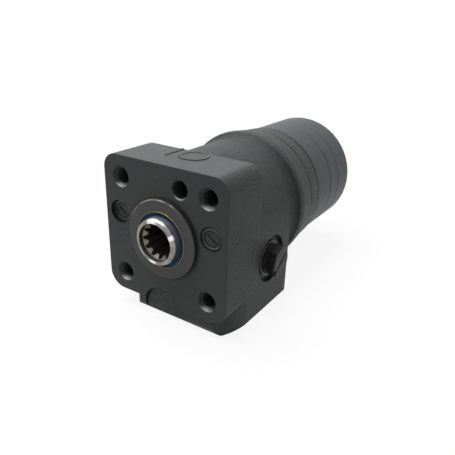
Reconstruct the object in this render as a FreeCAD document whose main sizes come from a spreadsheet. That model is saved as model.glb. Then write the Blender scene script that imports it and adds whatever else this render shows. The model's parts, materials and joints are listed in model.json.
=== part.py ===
import FreeCAD, Part
import math
import os

import Sketcher

# Orbital steering unit. The Y axis is the spool axis, from the mounting face (y = 0) to the rear.
# X points to the right seen from the front, Z up. The origin is the centre of the mounting face.

SIZES = {
    # Mounting block and pilot collar
    "block_half_width": 41.4,
    "block_bottom": 41.1,
    "block_corner": 10.0,
    "block_top_corner": 8.8,
    "block_rear_round": 2.0,
    "block_depth": 33.0,
    "collar_radius": 22.6,
    "collar_height": 2.2,
    "collar_chamfer": 0.5,
    # Tapped holes for the steering column
    "column_bolt_circle": 82.5,
    "column_thread_core": 8.5,
    "column_mouth": 12.0,
    "column_mouth_depth": 2.8,
    "column_hole_depth": 20.0,
    # Single drilled hole above the collar
    "gauge_hole_side": 11.4,
    "gauge_hole_height": 30.1,
    "gauge_hole_bore": 9.5,
    "gauge_hole_chamfer": 0.7,
    "gauge_hole_depth": 14.0,
    # Valve body behind the block, with the port pad below
    "body_half_width": 41.2,
    "body_top": 40.6,
    "body_overlap": 3.0,
    "pad_drop": 51.5,
    "pad_front": 1.2,
    "pad_rear": 70.5,
    "pad_front_left": 23.5,
    "pad_left_side": 9.0,
    "pad_left_flare": 30.0,
    "pad_front_right": 33.5,
    "pad_right_flare": 22.0,
    "pad_right_curve": 40.0,
    "pad_corner": 5.0,
    "pad_edge_round": 1.0,
    "pad_front_round": 6.5,
    "relief_arc_radius": 14.3,
    "relief_arc_side": 1.0,
    "relief_arc_drop": 46.0,
    # Neck, shoulder and rear flange
    "neck_start": 68.0,
    "neck_radius": 40.6,
    "neck_curve": 14.0,
    "shoulder_place": 79.0,
    "shoulder_radius": 43.6,
    "crest_place": 84.0,
    "crest_radius": 44.2,
    "crest_curve": 12.0,
    "housing_length": 113.0,
    "rear_radius": 41.2,
    "turned_line_place": 98.0,
    "turned_line_radius": 42.4,
    "turned_line_width": 0.7,
    "turned_line_depth": 0.5,
    "turned_line_angle": 75.0,
    # Bore of the rotary valve and the seals in front of it
    "sleeve_bore": 18.0,
    "running_gap": 0.05,
    "seal_case_radius": 16.1,
    "seal_case_wall": 0.55,
    "seal_case_length": 7.0,
    "seal_case_stand": 0.3,
    "dust_seal_recess": 1.1,
    "seal_wall": 1.5,
    "seal_lip_thickness": 0.9,
    "shaft_seal_radius": 16.4,
    "shaft_seal_length": 4.5,
    "bore_throat": 14.2,
    # Thrust bearing
    "race_thickness": 1.5,
    "race_hole": 13.7,
    "roller_diameter": 1.96,
    "roller_length": 3.0,
    "roller_pitch_radius": 15.65,
    "cage_thickness": 1.2,
    "roller_count": 16,
    # Control spool
    "spool_radius": 13.4,
    "spool_stand": 7.3,
    "spool_mouth": 10.75,
    "spool_mouth_bevel": 0.2,
    "spool_face_round": 1.4,
    "spool_nose_length": 2.2,
    "spool_nose_curve": 2.4,
    "spool_hollow": 11.0,
    "spool_tail_gap": 1.0,
    "spool_groove_depth": 0.9,
    "spool_groove_width": 5.0,
    "spool_slot_width": 2.4,
    "spool_slot_length": 15.0,
    "spool_slot_depth": 1.0,
    "spool_slot_place": 84.0,
    # Internal spline of the spool end
    "spline_teeth": 12,
    "spline_root": 10.6,
    "spline_tip": 8.8,
    "spline_lead": 3.0,
    "spline_length": 25.0,
    "spline_turn": 4.0,
    # Control sleeve
    "sleeve_oil_groove": 0.7,
    "sleeve_groove_width": 3.2,
    "sleeve_hole": 1.3,
    "sleeve_metering_place": 92.0,
    "sleeve_supply_place": 44.0,
    "sleeve_front_place": 76.0,
    "sleeve_end_gap": 0.2,
    # Neutral-position springs and their ring
    "leaf_place": 27.5,
    "leaf_width": 7.0,
    "leaf_thickness": 0.5,
    "leaf_gap": 0.04,
    "leaf_arch": 1.1,
    "leaf_slot_gap": 0.12,
    "ring_wall": 0.65,
    "ring_length": 14.0,
    "ring_front": 20.5,
    "ring_seat_spare": 1.0,
    "ring_seat_gap": 0.03,
    "leaf_end_gap": 0.3,
    # Cross pin and cardan shaft
    "pin_place": 62.0,
    "pin_radius": 3.0,
    "pin_end_gap": 0.2,
    "pin_bevel": 0.5,
    "pin_window_gap": 2.1,
    "cardan_head_radius": 9.6,
    "cardan_head_half_length": 8.0,
    "cardan_head_taper": 2.0,
    "cardan_stem_radius": 6.4,
    "cardan_tail_taper": 3.0,
    "cardan_tail_bevel": 1.0,
    "cardan_slot_gap": 0.15,
    "cardan_slot_room": 0.4,
    "cardan_tail_length": 9.0,
    "cardan_tail_past_middle": 2.4,
    "cardan_tooth_gap": 0.4,
    "spacer_radius": 8.1,
    "spacer_thickness": 3.8,
    "spacer_end_gap": 0.2,
    # Stack behind the housing
    "stack_radius": 40.4,
    "stack_edge": 0.45,
    "plate_edge": 0.9,
    "small_bevel": 0.4,
    "plate_thickness": 21.8,
    "plate_hole": 12.0,
    "ring_thickness": 13.8,
    "cover_thickness": 21.4,
    "cover_edge_drop": 1.1,
    "cover_edge_length": 2.6,
    "cover_edge_curve": 4.0,
    "gear_end_gap": 0.05,
    "passage_radius": 1.7,
    "passage_circle": 21.4,
    "passage_depth": 15.0,
    "passage_lean": 12.0,
    "seal_groove_inner": 24.8,
    "seal_ring_section": 0.75,
    "seal_groove_side_gap": 0.15,
    "seal_groove_end_gap": 0.03,
    # Gear set
    "lobe_circle": 26.0,
    "lobe_radius": 7.0,
    "orbit_radius": 2.6,
    "mesh_gap": 0.06,
    "star_spline_root": 9.9,
    "star_spline_tip": 8.4,
    # Cover screws and the check valve under one of them
    "screw_circle": 31.2,
    "screw_radius": 4.0,
    "screw_core": 3.4,
    "screw_clearance": 0.15,
    "screw_grip": 14.0,
    "screw_hole_spare": 2.0,
    "screw_tip_bevel": 0.6,
    "screw_head_flats": 12.0,
    "screw_head_height": 4.2,
    "washer_radius": 6.3,
    "washer_thickness": 0.8,
    "check_bore": 5.6,
    "check_bushing_length": 11.5,
    "check_bushing_sink": 0.8,
    "check_bore_depth": 22.0,
    "check_pin_radius": 1.5,
    "check_ball_radius": 3.8,
    "check_ball_lift": 1.2,
    "check_seat": 2.6,
    "check_passage": 8.0,
    "check_pin_root": 2.0,
    # Side bore of the relief valve
    "relief_place": 49.0,
    "relief_drop": 19.4,
    "relief_spot_radius": 14.4,
    "relief_spot_depth": 2.8,
    "relief_thread": 8.0,
    "relief_thread_end": 29.0,
    "relief_plug_gap": 0.3,
    "relief_chamber": 5.2,
    "relief_chamber_end": 20.0,
    "relief_passage": 2.2,
    "relief_passage_end": 4.0,
    "relief_washer_radius": 11.1,
    "relief_washer_thickness": 1.6,
    "relief_flange_radius": 9.4,
    "relief_flange_thickness": 1.5,
    "relief_hex_flats": 16.4,
    "relief_hex_turn": 20.0,
    "relief_hex_bevel": 0.3,
    "relief_hex_face": 47.8,
    "relief_slot_width": 1.3,
    "relief_slot_depth": 1.4,
    "relief_slot_angle": 37.0,
    "relief_seat_thickness": 2.4,
    "relief_seat_hole": 2.6,
    "relief_seat_cone": 1.0,
    "relief_poppet_stem": 2.0,
    "relief_poppet_collar": 4.3,
    "relief_spring_wire": 0.55,
    "spring_side_gap": 0.45,
    "relief_cup_depth": 6.0,
    # Valves behind the two plugs of the front face
    "front_valve_side": 31.2,
    "front_valve_height": 8.2,
    "front_valve_recess": 6.75,
    "front_valve_left_depth": 2.1,
    "front_valve_right_depth": 0.7,
    "front_valve_thread": 6.0,
    "front_valve_sleeve_wall": 1.5,
    "front_valve_sleeve_length": 11.0,
    "front_valve_inner_bevel": 0.3,
    "front_valve_outer_bevel": 0.4,
    "front_valve_screw_sink": 0.35,
    "front_valve_screw_length": 7.0,
    "front_valve_slot_width": 0.9,
    "front_valve_slot_depth": 0.7,
    "front_valve_slot_reach": 3.3,
    "front_valve_slot_angle": 36.0,
    "front_valve_chamber": 3.4,
    "front_valve_chamber_end": 26.0,
    "front_valve_passage": 1.7,
    "front_valve_passage_end": 33.0,
    "front_valve_ball": 2.6,
    "front_valve_spring_wire": 0.45,
    # Ports in the bottom pad
    "port_half_spacing": 14.0,
    "port_front_row": 22.0,
    "port_rear_row": 54.0,
    "port_spot_radius": 12.4,
    "port_spot_depth": 0.5,
    "port_thread_core": 8.2,
    "port_thread_length": 14.0,
    "port_drill": 4.6,
    "port_drill_top": 12.0,
    # Plain raised disc and casting step on the top face
    "top_disc_radius": 8.5,
    "top_disc_side": 3.6,
    "top_disc_place": 23.0,
    "top_disc_height": 0.45,
    "top_disc_rim": 1.5,
    "top_disc_hollow": 0.3,
    "top_mark_root": 0.5,
    "top_step_side": 9.5,
    "top_step_front": 14.0,
    "top_step_width": 1.6,
}

RING_LOBES = 7
STAR_LOBES = 6
COLUMN_HOLES = 4
PORT_SIGNS = (-1, 1)
# Depth of a drill's point as a share of its radius
DRILL_POINT = 0.6
# How far a cutting profile runs past the surface it cuts, in mm
CLEAR = 1.0
# Room between two pieces that touch on the real unit, in mm
CONTACT_GAP = 0.02
# Distance below which two places count as one, in mm
TOUCH = 1e-6
QUARTER_TURN_SHARE = math.cos(math.radians(45)) / 2
# Shares of the tooth pitch that the gap of an internal spline takes at the tips and at the roots:
# those of the spool end and those of the star, whose teeth are slimmer at their roots
SPOOL_SPACE_SHARES = (0.68, 0.3)
STAR_SPACE_SHARES = (0.62, 0.42)
# Where the gap of the cardan shaft's crowned teeth starts, as shares of the pitch at root and outside
CARDAN_GAP_SHARES = (0.27, 0.13)
# Angle from one lobe of the ring to the gap beside it
HALF_LOBE_ANGLE = 180.0 / RING_LOBES
# Points on each of the star's lobes, and how much closer they lie in the hollows
STAR_STEPS = 24
STAR_EASING = 0.85
# Place of the check valve among the seven cover screws
CHECK_SCREW_INDEX = 5
# Fall of the bevelled hexagon face per unit of radius: 30 degrees
HEX_BEVEL_SLOPE = math.tan(math.radians(30))
RELIEF_SPRING_TURNS = 5
VALVE_SPRING_TURNS = 6
# Radius of the coil that presses on a ball, and how far before the ball's centre it ends,
# both as shares of the ball's radius
BALL_SPRING_SHARE = 0.73
BALL_CHORD_SHARE = 0.8


class Size:
    """A length known as a number and as the formula that ties it to the sheet."""

    def __init__(self, value, formula):
        self.value = value
        self.formula = formula

    def joined(self, other, sign, value):
        return Size(value, f"({self.formula} {sign} {formula_of(other)})")

    def __add__(self, other):
        return self.joined(other, "+", self.value + number(other))

    def __sub__(self, other):
        return self.joined(other, "-", self.value - number(other))

    def __mul__(self, other):
        return self.joined(other, "*", self.value * number(other))

    def __truediv__(self, other):
        return self.joined(other, "/", self.value / number(other))

    def __neg__(self):
        return Size(-self.value, f"(-1 * {self.formula})")


def number(size):
    return size.value if isinstance(size, Size) else float(size)


def formula_of(size):
    return size.formula if isinstance(size, Size) else repr(float(size))


class Sheet:
    """The driving sizes by name, each as a Size."""

    def __init__(self, document):
        self.sheet = document.addObject("Spreadsheet::Sheet", "Sizes")
        for row, (name, value) in enumerate(SIZES.items(), 1):
            self.sheet.set(f"A{row}", name)
            self.sheet.set(f"B{row}", str(value))
            self.sheet.setAlias(f"B{row}", name)
        document.recompute()

    def __getattr__(self, name):
        return Size(float(SIZES[name]), "Sizes." + name)


doc = FreeCAD.newDocument("orbital_steering_unit")
s = Sheet(doc)
pieces = []


def bind(item, path, size):
    if isinstance(size, Size):
        item.setExpression(path, size.formula)


def new_body(label):
    body = doc.addObject("PartDesign::Body", label)
    body.Label = label
    body.AllowCompound = True
    pieces.append(body)
    return body


def origin_part(body, role):
    return next(feature for feature in body.Origin.OriginFeatures if feature.Role == role)


def new_sketch(body, name, plane, shift=(0, 0, 0), turn=None):
    """A sketch on one of the body's own origin planes, moved by shift in the plane's own axes."""
    sketch = body.newObject("Sketcher::SketchObject", name)
    sketch.AttachmentSupport = (origin_part(body, plane), [""])
    sketch.MapMode = "FlatFace"
    if turn is not None:
        sketch.AttachmentOffset = FreeCAD.Placement(FreeCAD.Vector(), turn)
    for axis, distance in zip("xyz", shift):
        bind(sketch, "AttachmentOffset.Base." + axis, distance)
    return sketch


def pin_point(sketch, geometry, end, u, v):
    """Hold one end of a line, or a circle's centre, at a place given by two sizes."""
    for kind, size in (("DistanceX", u), ("DistanceY", v)):
        index = sketch.addConstraint(Sketcher.Constraint(kind, -1, 1, geometry, end, number(size)))
        bind(sketch, f"Constraints[{index}]", size)


def arc_between(start, end, radius, side):
    """The shorter arc of this radius from start to end, bulging to the left (side 1) or right (-1)."""
    chord = end - start
    half = chord.Length / 2
    rise = radius - math.sqrt(max(radius * radius - half * half, 0))
    left = FreeCAD.Vector(-chord.y, chord.x, 0).normalize()
    return Part.Arc(start, (start + end) * 0.5 + left * (rise * side), end)


def draw_outline(sketch, corners, arcs=None):
    """A closed outline. arcs says which sides, by number, are arcs, as (radius, side)."""
    arcs = arcs or {}
    points = [FreeCAD.Vector(number(u), number(v), 0) for u, v in corners]
    count = len(points)
    ends = []
    for i, start in enumerate(points):
        end = points[(i + 1) % count]
        if i in arcs:
            radius, side = arcs[i]
            index = sketch.addGeometry(arc_between(start, end, number(radius), side), False)
            first = 1 if sketch.getPoint(index, 1).distanceToPoint(start) < 1e-6 else 2
            held = sketch.addConstraint(Sketcher.Constraint("Radius", index, number(radius)))
            bind(sketch, f"Constraints[{held}]", radius)
        else:
            index = sketch.addGeometry(Part.LineSegment(start, end), False)
            first = 1
        ends.append((index, first, 3 - first))
    for i, (index, first, last) in enumerate(ends):
        after, after_first, _ = ends[(i + 1) % count]
        sketch.addConstraint(Sketcher.Constraint("Coincident", index, last, after, after_first))
        pin_point(sketch, index, first, *corners[i])


def draw_circle(sketch, u, v, radius):
    centre = FreeCAD.Vector(number(u), number(v), 0)
    index = sketch.addGeometry(Part.Circle(centre, FreeCAD.Vector(0, 0, 1), number(radius)), False)
    pin_point(sketch, index, 3, u, v)
    held = sketch.addConstraint(Sketcher.Constraint("Radius", index, number(radius)))
    bind(sketch, f"Constraints[{held}]", radius)


def volume_of(body):
    return body.Shape.Volume if not body.Shape.isNull() else 0.0


def finish_feature(body, feature, sketch, before, grows):
    """Recompute, and see that the feature added or removed material as it should."""
    sketch.Visibility = False
    doc.recompute()
    change = volume_of(body) - before
    if change == 0 or (change > 0) != grows:
        raise RuntimeError(f"{feature.Label} changed the volume by {change:.3f}")
    return feature


def pad(body, sketch, length, forward=True):
    before = volume_of(body)
    feature = body.newObject("PartDesign::Pad", sketch.Label + "_pad")
    feature.Profile = sketch
    feature.Length = number(length)
    bind(feature, "Length", length)
    feature.Reversed = not forward
    return finish_feature(body, feature, sketch, before, True)


def pocket(body, sketch, depth, against_normal=True):
    before = volume_of(body)
    feature = body.newObject("PartDesign::Pocket", sketch.Label + "_pocket")
    feature.Profile = sketch
    feature.Length = number(depth)
    bind(feature, "Length", depth)
    feature.Reversed = not against_normal
    return finish_feature(body, feature, sketch, before, False)


def turn_profile(body, name, corners, arcs=None, shift=(0, 0, 0), plane="XY_Plane",
                 axis="V_Axis", cut=False, angle=360, turn=None, mirror_sweep=False):
    """Turn a closed profile about an axis of its own sketch, adding or cutting material."""
    sketch = new_sketch(body, name, plane, shift, turn)
    draw_outline(sketch, corners, arcs)
    doc.recompute()
    before = volume_of(body)
    kind = "PartDesign::Groove" if cut else "PartDesign::Revolution"
    feature = body.newObject(kind, name + "_turn")
    feature.Profile = sketch
    feature.ReferenceAxis = (sketch, [axis])
    feature.Angle = number(angle)
    bind(feature, "Angle", angle)
    feature.Reversed = mirror_sweep
    return finish_feature(body, feature, sketch, before, not cut)


def around_axis(body, originals, count):
    """Repeat features around the spool axis."""
    before = volume_of(body)
    pattern = body.newObject("PartDesign::PolarPattern", originals[0].Label + "_ring")
    pattern.Originals = originals
    pattern.Axis = (origin_part(body, "Y_Axis"), [""])
    pattern.Angle = 360
    pattern.Occurrences = int(count)
    body.Tip = pattern
    doc.recompute()
    if abs(volume_of(body) - before) < 1e-6:
        raise RuntimeError(f"{pattern.Label} changed nothing")
    return pattern


def round_edges(body, name, radius, test):
    """Fillet the edges whose two ends pass the test."""
    base = body.Tip
    names = [f"Edge{i}" for i, edge in enumerate(base.Shape.Edges, 1)
             if len(edge.Vertexes) == 2 and test(edge)]
    feature = body.newObject("PartDesign::Fillet", name)
    feature.Base = (base, names)
    feature.Radius = number(radius)
    bind(feature, "Radius", radius)
    doc.recompute()
    if not names or "Invalid" in feature.State:
        raise RuntimeError(f"{name} rounded no edge: {names}")
    return feature


def ring_body(label, corners, arcs=None, place=None, along_x=False):
    """A turned piece. Its profile is in (radius, distance along its axis)."""
    body = new_body(label)
    turn_profile(body, label + "_profile", corners, arcs)
    place_body(body, place, along_x)
    return body


def place_body(body, place, along_x=False):
    """Put a piece's own axis through a place, along Y, or along X for the side bore."""
    if along_x:
        body.Placement = FreeCAD.Placement(FreeCAD.Vector(), FreeCAD.Rotation(FreeCAD.Vector(0, 0, 1), -90))
    if place is not None:
        for axis, distance in zip("xyz", place):
            bind(body, "Placement.Base." + axis, distance)


def tube(inner, outer, start, end):
    """Profile of a plain ring."""
    return [(inner, start), (outer, start), (outer, end), (inner, end)]


def on_circle(radius, degrees):
    """Place on a circle about the spool axis, as X and Z."""
    angle = math.radians(degrees)
    return radius * math.cos(angle), radius * math.sin(angle)


def hexagon(flats, turn=0.0):
    """Corners of a hexagon, two of its flats facing along the first axis, then turned by degrees."""
    corner = flats / math.sqrt(3)
    return [on_circle(corner, 30 + 60 * i + turn) for i in range(6)]


# Places along the spool axis that several pieces share
seal_throat = s.seal_case_length - s.collar_height - s.seal_case_stand
shaft_seal_start = seal_throat + s.seal_wall
bearing_start = shaft_seal_start + s.shaft_seal_length
rollers_middle = bearing_start + s.race_thickness + s.roller_diameter / 2 + CONTACT_GAP
rear_race_start = rollers_middle + s.roller_diameter / 2 + CONTACT_GAP
sleeve_start = rear_race_start + s.race_thickness
plate_end = s.housing_length + s.plate_thickness
ring_end = plate_end + s.ring_thickness
cover_end = ring_end + s.cover_thickness
star_middle = plate_end + s.ring_thickness / 2
sleeve_outer = s.sleeve_bore - s.running_gap
sleeve_inner = s.spool_radius + s.running_gap
ring_seat = sleeve_outer - s.ring_wall
leaf_slot_half = s.leaf_thickness * 3 + s.leaf_gap * 3 + s.leaf_arch + s.leaf_slot_gap
relief_floor = s.body_half_width - s.relief_spot_depth


def make_housing():
    body = new_body("housing")
    block = new_sketch(body, "block_outline", "XZ_Plane")
    half = s.block_half_width
    low = -s.block_bottom
    draw_outline(block, [(-half, low), (half, low), (half, half), (-half, half)])
    doc.recompute()
    pad(body, block, s.block_depth, forward=False)
    round_edges(body, "lower_corners", s.block_corner,
                lambda edge: runs_along(edge, "y") and edge.Vertexes[0].Point.z < 0)
    round_edges(body, "upper_corners", s.block_top_corner,
                lambda edge: runs_along(edge, "y") and edge.Vertexes[0].Point.z > half.value - CLEAR)
    depth = s.block_depth.value
    round_edges(body, "rear_edges", s.block_rear_round,
                lambda edge: all(abs(vertex.Point.y - depth) < TOUCH for vertex in edge.Vertexes))
    make_port_pad(body)
    make_valve_body(body)
    make_neck(body)
    make_collar_and_bore(body)
    make_column_holes(body)
    make_front_valve_bores(body)
    make_relief_bore(body)
    make_ports(body)
    make_rear_holes(body)
    make_top_marks(body)
    return body


def runs_along(edge, axis):
    start, end = (vertex.Point for vertex in edge.Vertexes)
    span = end - start
    return abs(abs(getattr(span, axis)) - span.Length) < TOUCH and edge.Curve.TypeId == "Part::GeomLine"


def make_port_pad(body):
    """Plan shape of the pad under the block: narrow at its left front, swelling in a curve at the right."""
    plan = new_sketch(body, "pad_plan", "XY_Plane", (0, 0, -s.pad_drop))
    side = s.body_half_width
    rear = s.block_depth + s.body_overlap
    draw_outline(plan, [(-s.pad_front_left, s.pad_front), (s.pad_front_right, s.pad_front),
                        (side, s.pad_right_flare), (side, rear), (-side, rear),
                        (-side, s.pad_left_flare), (-s.pad_front_left, s.pad_front + s.pad_left_side)],
                 {1: (s.pad_right_curve, -1)})
    doc.recompute()
    pad(body, plan, s.pad_drop - s.block_bottom + s.block_corner)
    front = s.pad_front.value
    round_edges(body, "pad_corners", s.pad_corner, lambda edge: runs_along(edge, "z")
                and abs(edge.Vertexes[0].Point.y - front) < TOUCH)


def make_valve_body(body):
    """Section behind the block: half-round top, flat sides, and a port face with a well rounded front."""
    section = new_sketch(body, "body_section", "XZ_Plane", (0, 0, -(s.block_depth - s.body_overlap)))
    half = s.body_half_width
    top_curve = (half + s.body_top) / 2
    draw_outline(section, [(-half, -s.pad_drop), (half, -s.pad_drop), (half, 0), (0, s.body_top), (-half, 0)],
                 {2: (top_curve, -1), 3: (top_curve, -1)})
    doc.recompute()
    pad(body, section, s.pad_rear - s.block_depth + s.body_overlap, forward=False)
    bottom = -s.pad_drop.value
    round_edges(body, "pad_edges", s.pad_edge_round, lambda edge: all(
        abs(vertex.Point.z - bottom) < TOUCH for vertex in edge.Vertexes))
    reach = half + CLEAR
    rounding = new_sketch(body, "pad_front_rounding", "YZ_Plane", (0, 0, reach))
    front, low, size = s.pad_front, -s.pad_drop, s.pad_front_round
    draw_outline(rounding, [(front - CLEAR, low - CLEAR), (front + size, low - CLEAR), (front + size, low),
                            (front, low + size), (front - CLEAR, low + size)], {2: (size, 1)})
    doc.recompute()
    pocket(body, rounding, reach * 2)


def make_neck(body):
    """Concave flare up to the rounded crest of the shoulder, then two cones down to the rear face."""
    turn_profile(body, "neck_profile", [
        (0, s.neck_start), (s.neck_radius, s.neck_start), (s.shoulder_radius, s.shoulder_place),
        (s.crest_radius, s.crest_place), (s.turned_line_radius, s.turned_line_place),
        (s.rear_radius, s.housing_length), (0, s.housing_length)],
        {1: (s.neck_curve, 1), 2: (s.crest_curve, -1)})
    turn_profile(body, "turned_line", tube(s.turned_line_radius - s.turned_line_depth, s.crest_radius,
                                           s.turned_line_place, s.turned_line_place + s.turned_line_width),
                 cut=True, angle=s.turned_line_angle, mirror_sweep=True)


def make_collar_and_bore(body):
    bevel = s.collar_chamfer
    face = -s.collar_height
    turn_profile(body, "collar", [(0, face), (s.collar_radius - bevel, face), (s.collar_radius, face + bevel),
                                  (s.collar_radius, CLEAR), (0, CLEAR)])
    turn_profile(body, "main_bore", [
        (0, face - CLEAR), (s.seal_case_radius, face - CLEAR), (s.seal_case_radius, seal_throat),
        (s.bore_throat, seal_throat), (s.bore_throat, shaft_seal_start), (s.shaft_seal_radius, shaft_seal_start),
        (s.shaft_seal_radius, bearing_start), (s.sleeve_bore, bearing_start),
        (s.sleeve_bore, s.housing_length + CLEAR), (0, s.housing_length + CLEAR)], cut=True)


def drill(body, name, x, z, corners):
    """Cut a turned profile about an axis along Y that passes through (x, z)."""
    return turn_profile(body, name, corners, shift=(x, 0, z), cut=True)


def make_column_holes(body):
    """The four tapped holes, the single drilled hole and the half-round relief over the pad's front."""
    core = s.column_thread_core / 2
    mouth = s.column_mouth / 2
    place = s.column_bolt_circle * QUARTER_TURN_SHARE
    hole = drill(body, "column_hole", place, place, [
        (0, -CLEAR), (mouth, -CLEAR), (mouth, 0), (core, s.column_mouth_depth), (core, s.column_hole_depth),
        (0, s.column_hole_depth + core * DRILL_POINT)])
    around_axis(body, [hole], COLUMN_HOLES)
    bore = s.gauge_hole_bore / 2
    drill(body, "gauge_hole", s.gauge_hole_side, s.gauge_hole_height, [
        (0, -CLEAR), (bore + s.gauge_hole_chamfer + CLEAR, -CLEAR), (bore, s.gauge_hole_chamfer),
        (bore, s.gauge_hole_depth), (0, s.gauge_hole_depth + bore * DRILL_POINT)])
    relief = new_sketch(body, "front_relief", "XZ_Plane", (0, 0, CLEAR))
    draw_circle(relief, -s.relief_arc_side, -s.relief_arc_drop, s.relief_arc_radius)
    doc.recompute()
    pocket(body, relief, s.pad_front + CLEAR)


def front_valves():
    """Name, side and recess depth of the two valves of the front face."""
    return ("left", -1, s.front_valve_left_depth), ("right", 1, s.front_valve_right_depth)


def make_front_valve_bores(body):
    """Stepped bores behind the two front plugs, each down to the cone on which its ball rests."""
    for name, sign, depth in front_valves():
        seat = s.front_valve_chamber_end
        bore = s.front_valve_thread + s.running_gap
        drill(body, name + "_valve_bore", s.front_valve_side * sign, s.front_valve_height, [
            (0, -CLEAR), (s.front_valve_recess, -CLEAR), (s.front_valve_recess, depth), (bore, depth),
            (bore, depth + s.front_valve_sleeve_length),
            (s.front_valve_chamber, depth + s.front_valve_sleeve_length),
            (s.front_valve_chamber, seat),
            (s.front_valve_passage, seat + s.front_valve_chamber - s.front_valve_passage),
            (s.front_valve_passage, s.front_valve_passage_end), (0, s.front_valve_passage_end)])


def make_relief_bore(body):
    """Stepped bore from the right side. Its profile is drawn as (distance along X, radius)."""
    face = s.body_half_width
    thread = s.relief_thread + s.running_gap
    steps = [(face + CLEAR, 0), (face + CLEAR, s.relief_spot_radius), (relief_floor, s.relief_spot_radius),
             (relief_floor, thread), (s.relief_thread_end, thread),
             (s.relief_thread_end, s.relief_chamber), (s.relief_chamber_end, s.relief_chamber),
             (s.relief_chamber_end, s.relief_passage), (s.relief_passage_end, s.relief_passage),
             (s.relief_passage_end, 0)]
    turn_profile(body, "relief_bore", steps, shift=(0, s.relief_place, -s.relief_drop), axis="H_Axis", cut=True)


def make_ports(body):
    """Four threaded ports in the bottom pad, each with a spot face and a drilling to the valve bore."""
    face = -s.pad_drop
    for side in PORT_SIGNS:
        for name, row in (("front", s.port_front_row), ("rear", s.port_rear_row)):
            label = f"{name}_port_{'left' if side < 0 else 'right'}"
            spot = face + s.port_spot_depth
            thread_end = face + s.port_thread_length
            turn_profile(body, label, [
                (0, face - CLEAR), (s.port_spot_radius, face - CLEAR), (s.port_spot_radius, spot),
                (s.port_thread_core, spot), (s.port_thread_core, thread_end),
                (s.port_drill, thread_end + s.port_thread_core - s.port_drill),
                (s.port_drill, -s.port_drill_top), (0, -s.port_drill_top)],
                shift=(s.port_half_spacing * side, 0, -row), plane="XZ_Plane", cut=True)


def screw_angles():
    return [360.0 / RING_LOBES * i for i in range(RING_LOBES)]


def make_rear_holes(body):
    """Tapped holes of the cover screws, the check valve's bore and the slanted oil passages."""
    rear = s.housing_length
    core = s.screw_core + s.running_gap
    cone = rear - s.check_bore_depth
    thread_end = rear - s.screw_grip - s.screw_hole_spare
    for i, angle in enumerate(screw_angles()):
        x, z = on_circle(s.screw_circle, angle)
        if i == CHECK_SCREW_INDEX:
            drill(body, "check_valve_bore", x, z, [
                (0, rear + CLEAR), (s.check_bore, rear + CLEAR), (s.check_bore, cone),
                (s.check_seat, cone - s.check_bore + s.check_seat),
                (s.check_seat, cone - s.check_passage), (0, cone - s.check_passage)])
        else:
            drill(body, f"cover_thread_{i}", x, z, [
                (0, rear + CLEAR), (core, rear + CLEAR), (core, thread_end),
                (0, thread_end - core * DRILL_POINT)])
    passage = body.newObject("PartDesign::SubtractiveCylinder", "oil_passage")
    passage.AttachmentSupport = (origin_part(body, "XZ_Plane"), [""])
    passage.MapMode = "FlatFace"
    lean = FreeCAD.Rotation(FreeCAD.Vector(0, 0, 1), HALF_LOBE_ANGLE).multiply(
        FreeCAD.Rotation(FreeCAD.Vector(0, 1, 0), -s.passage_lean.value))
    passage.AttachmentOffset = FreeCAD.Placement(FreeCAD.Vector(), lean)
    x, z = on_circle(s.passage_circle, HALF_LOBE_ANGLE)
    bind(passage, "AttachmentOffset.Base.x", x)
    bind(passage, "AttachmentOffset.Base.y", z)
    bind(passage, "AttachmentOffset.Base.z", -rear)
    bind(passage, "Radius", s.passage_radius)
    bind(passage, "Height", s.passage_depth)
    doc.recompute()
    around_axis(body, [passage], RING_LOBES)


def make_top_marks(body):
    """Plain raised disc with a rim, and the small casting step, both on the top face."""
    root = s.block_half_width - s.top_mark_root
    disc = new_sketch(body, "top_disc", "XY_Plane", (0, 0, root))
    draw_circle(disc, s.top_disc_side, s.top_disc_place, s.top_disc_radius)
    doc.recompute()
    pad(body, disc, s.top_disc_height + s.top_mark_root)
    hollow = new_sketch(body, "top_disc_hollow", "XY_Plane", (0, 0, s.block_half_width + s.top_disc_height))
    draw_circle(hollow, s.top_disc_side, s.top_disc_place, s.top_disc_radius - s.top_disc_rim)
    doc.recompute()
    pocket(body, hollow, s.top_disc_hollow)
    step = new_sketch(body, "top_step", "XY_Plane", (0, 0, root))
    rear = s.block_depth - s.block_rear_round
    draw_outline(step, [(-s.top_step_side, s.top_step_front), (-s.top_step_side, rear),
                        (-s.top_step_side - s.top_step_width, rear)])
    doc.recompute()
    pad(body, step, s.top_disc_height + s.top_mark_root)


def make_seals():
    """Seal case with its inward flange, the dust seal in it, and the shaft seal behind."""
    front = -s.collar_height
    wall = s.seal_case_wall
    case_inner = s.seal_case_radius - wall
    case_front = front - s.seal_case_stand
    case_floor = seal_throat - wall
    ring_body("seal_case", [
        (case_inner, case_front), (s.seal_case_radius, case_front), (s.seal_case_radius, seal_throat),
        (case_inner - wall * 2, seal_throat), (case_inner - wall * 2, case_floor), (case_inner, case_floor)])
    lip = s.spool_radius + s.running_gap
    web = s.seal_lip_thickness
    dust_front = front + s.dust_seal_recess
    ring_body("dust_seal", [
        (lip, dust_front - web / 2), (lip + web / 2, dust_front - web / 2), (lip + web, dust_front),
        (case_inner, dust_front), (case_inner, case_floor), (lip + web, case_floor),
        (lip + web, dust_front + web * 1.5), (lip, dust_front + web)])
    end = shaft_seal_start + s.shaft_seal_length
    rim = s.shaft_seal_radius - web
    root = shaft_seal_start + web * 1.5
    ring_body("shaft_seal", [
        (lip + web / 2, shaft_seal_start), (s.shaft_seal_radius, shaft_seal_start), (s.shaft_seal_radius, end),
        (rim, end), (rim, root), (lip + web, root), (lip + web, end - web / 2), (lip, end - web),
        (lip + web / 2, root)])


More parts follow.
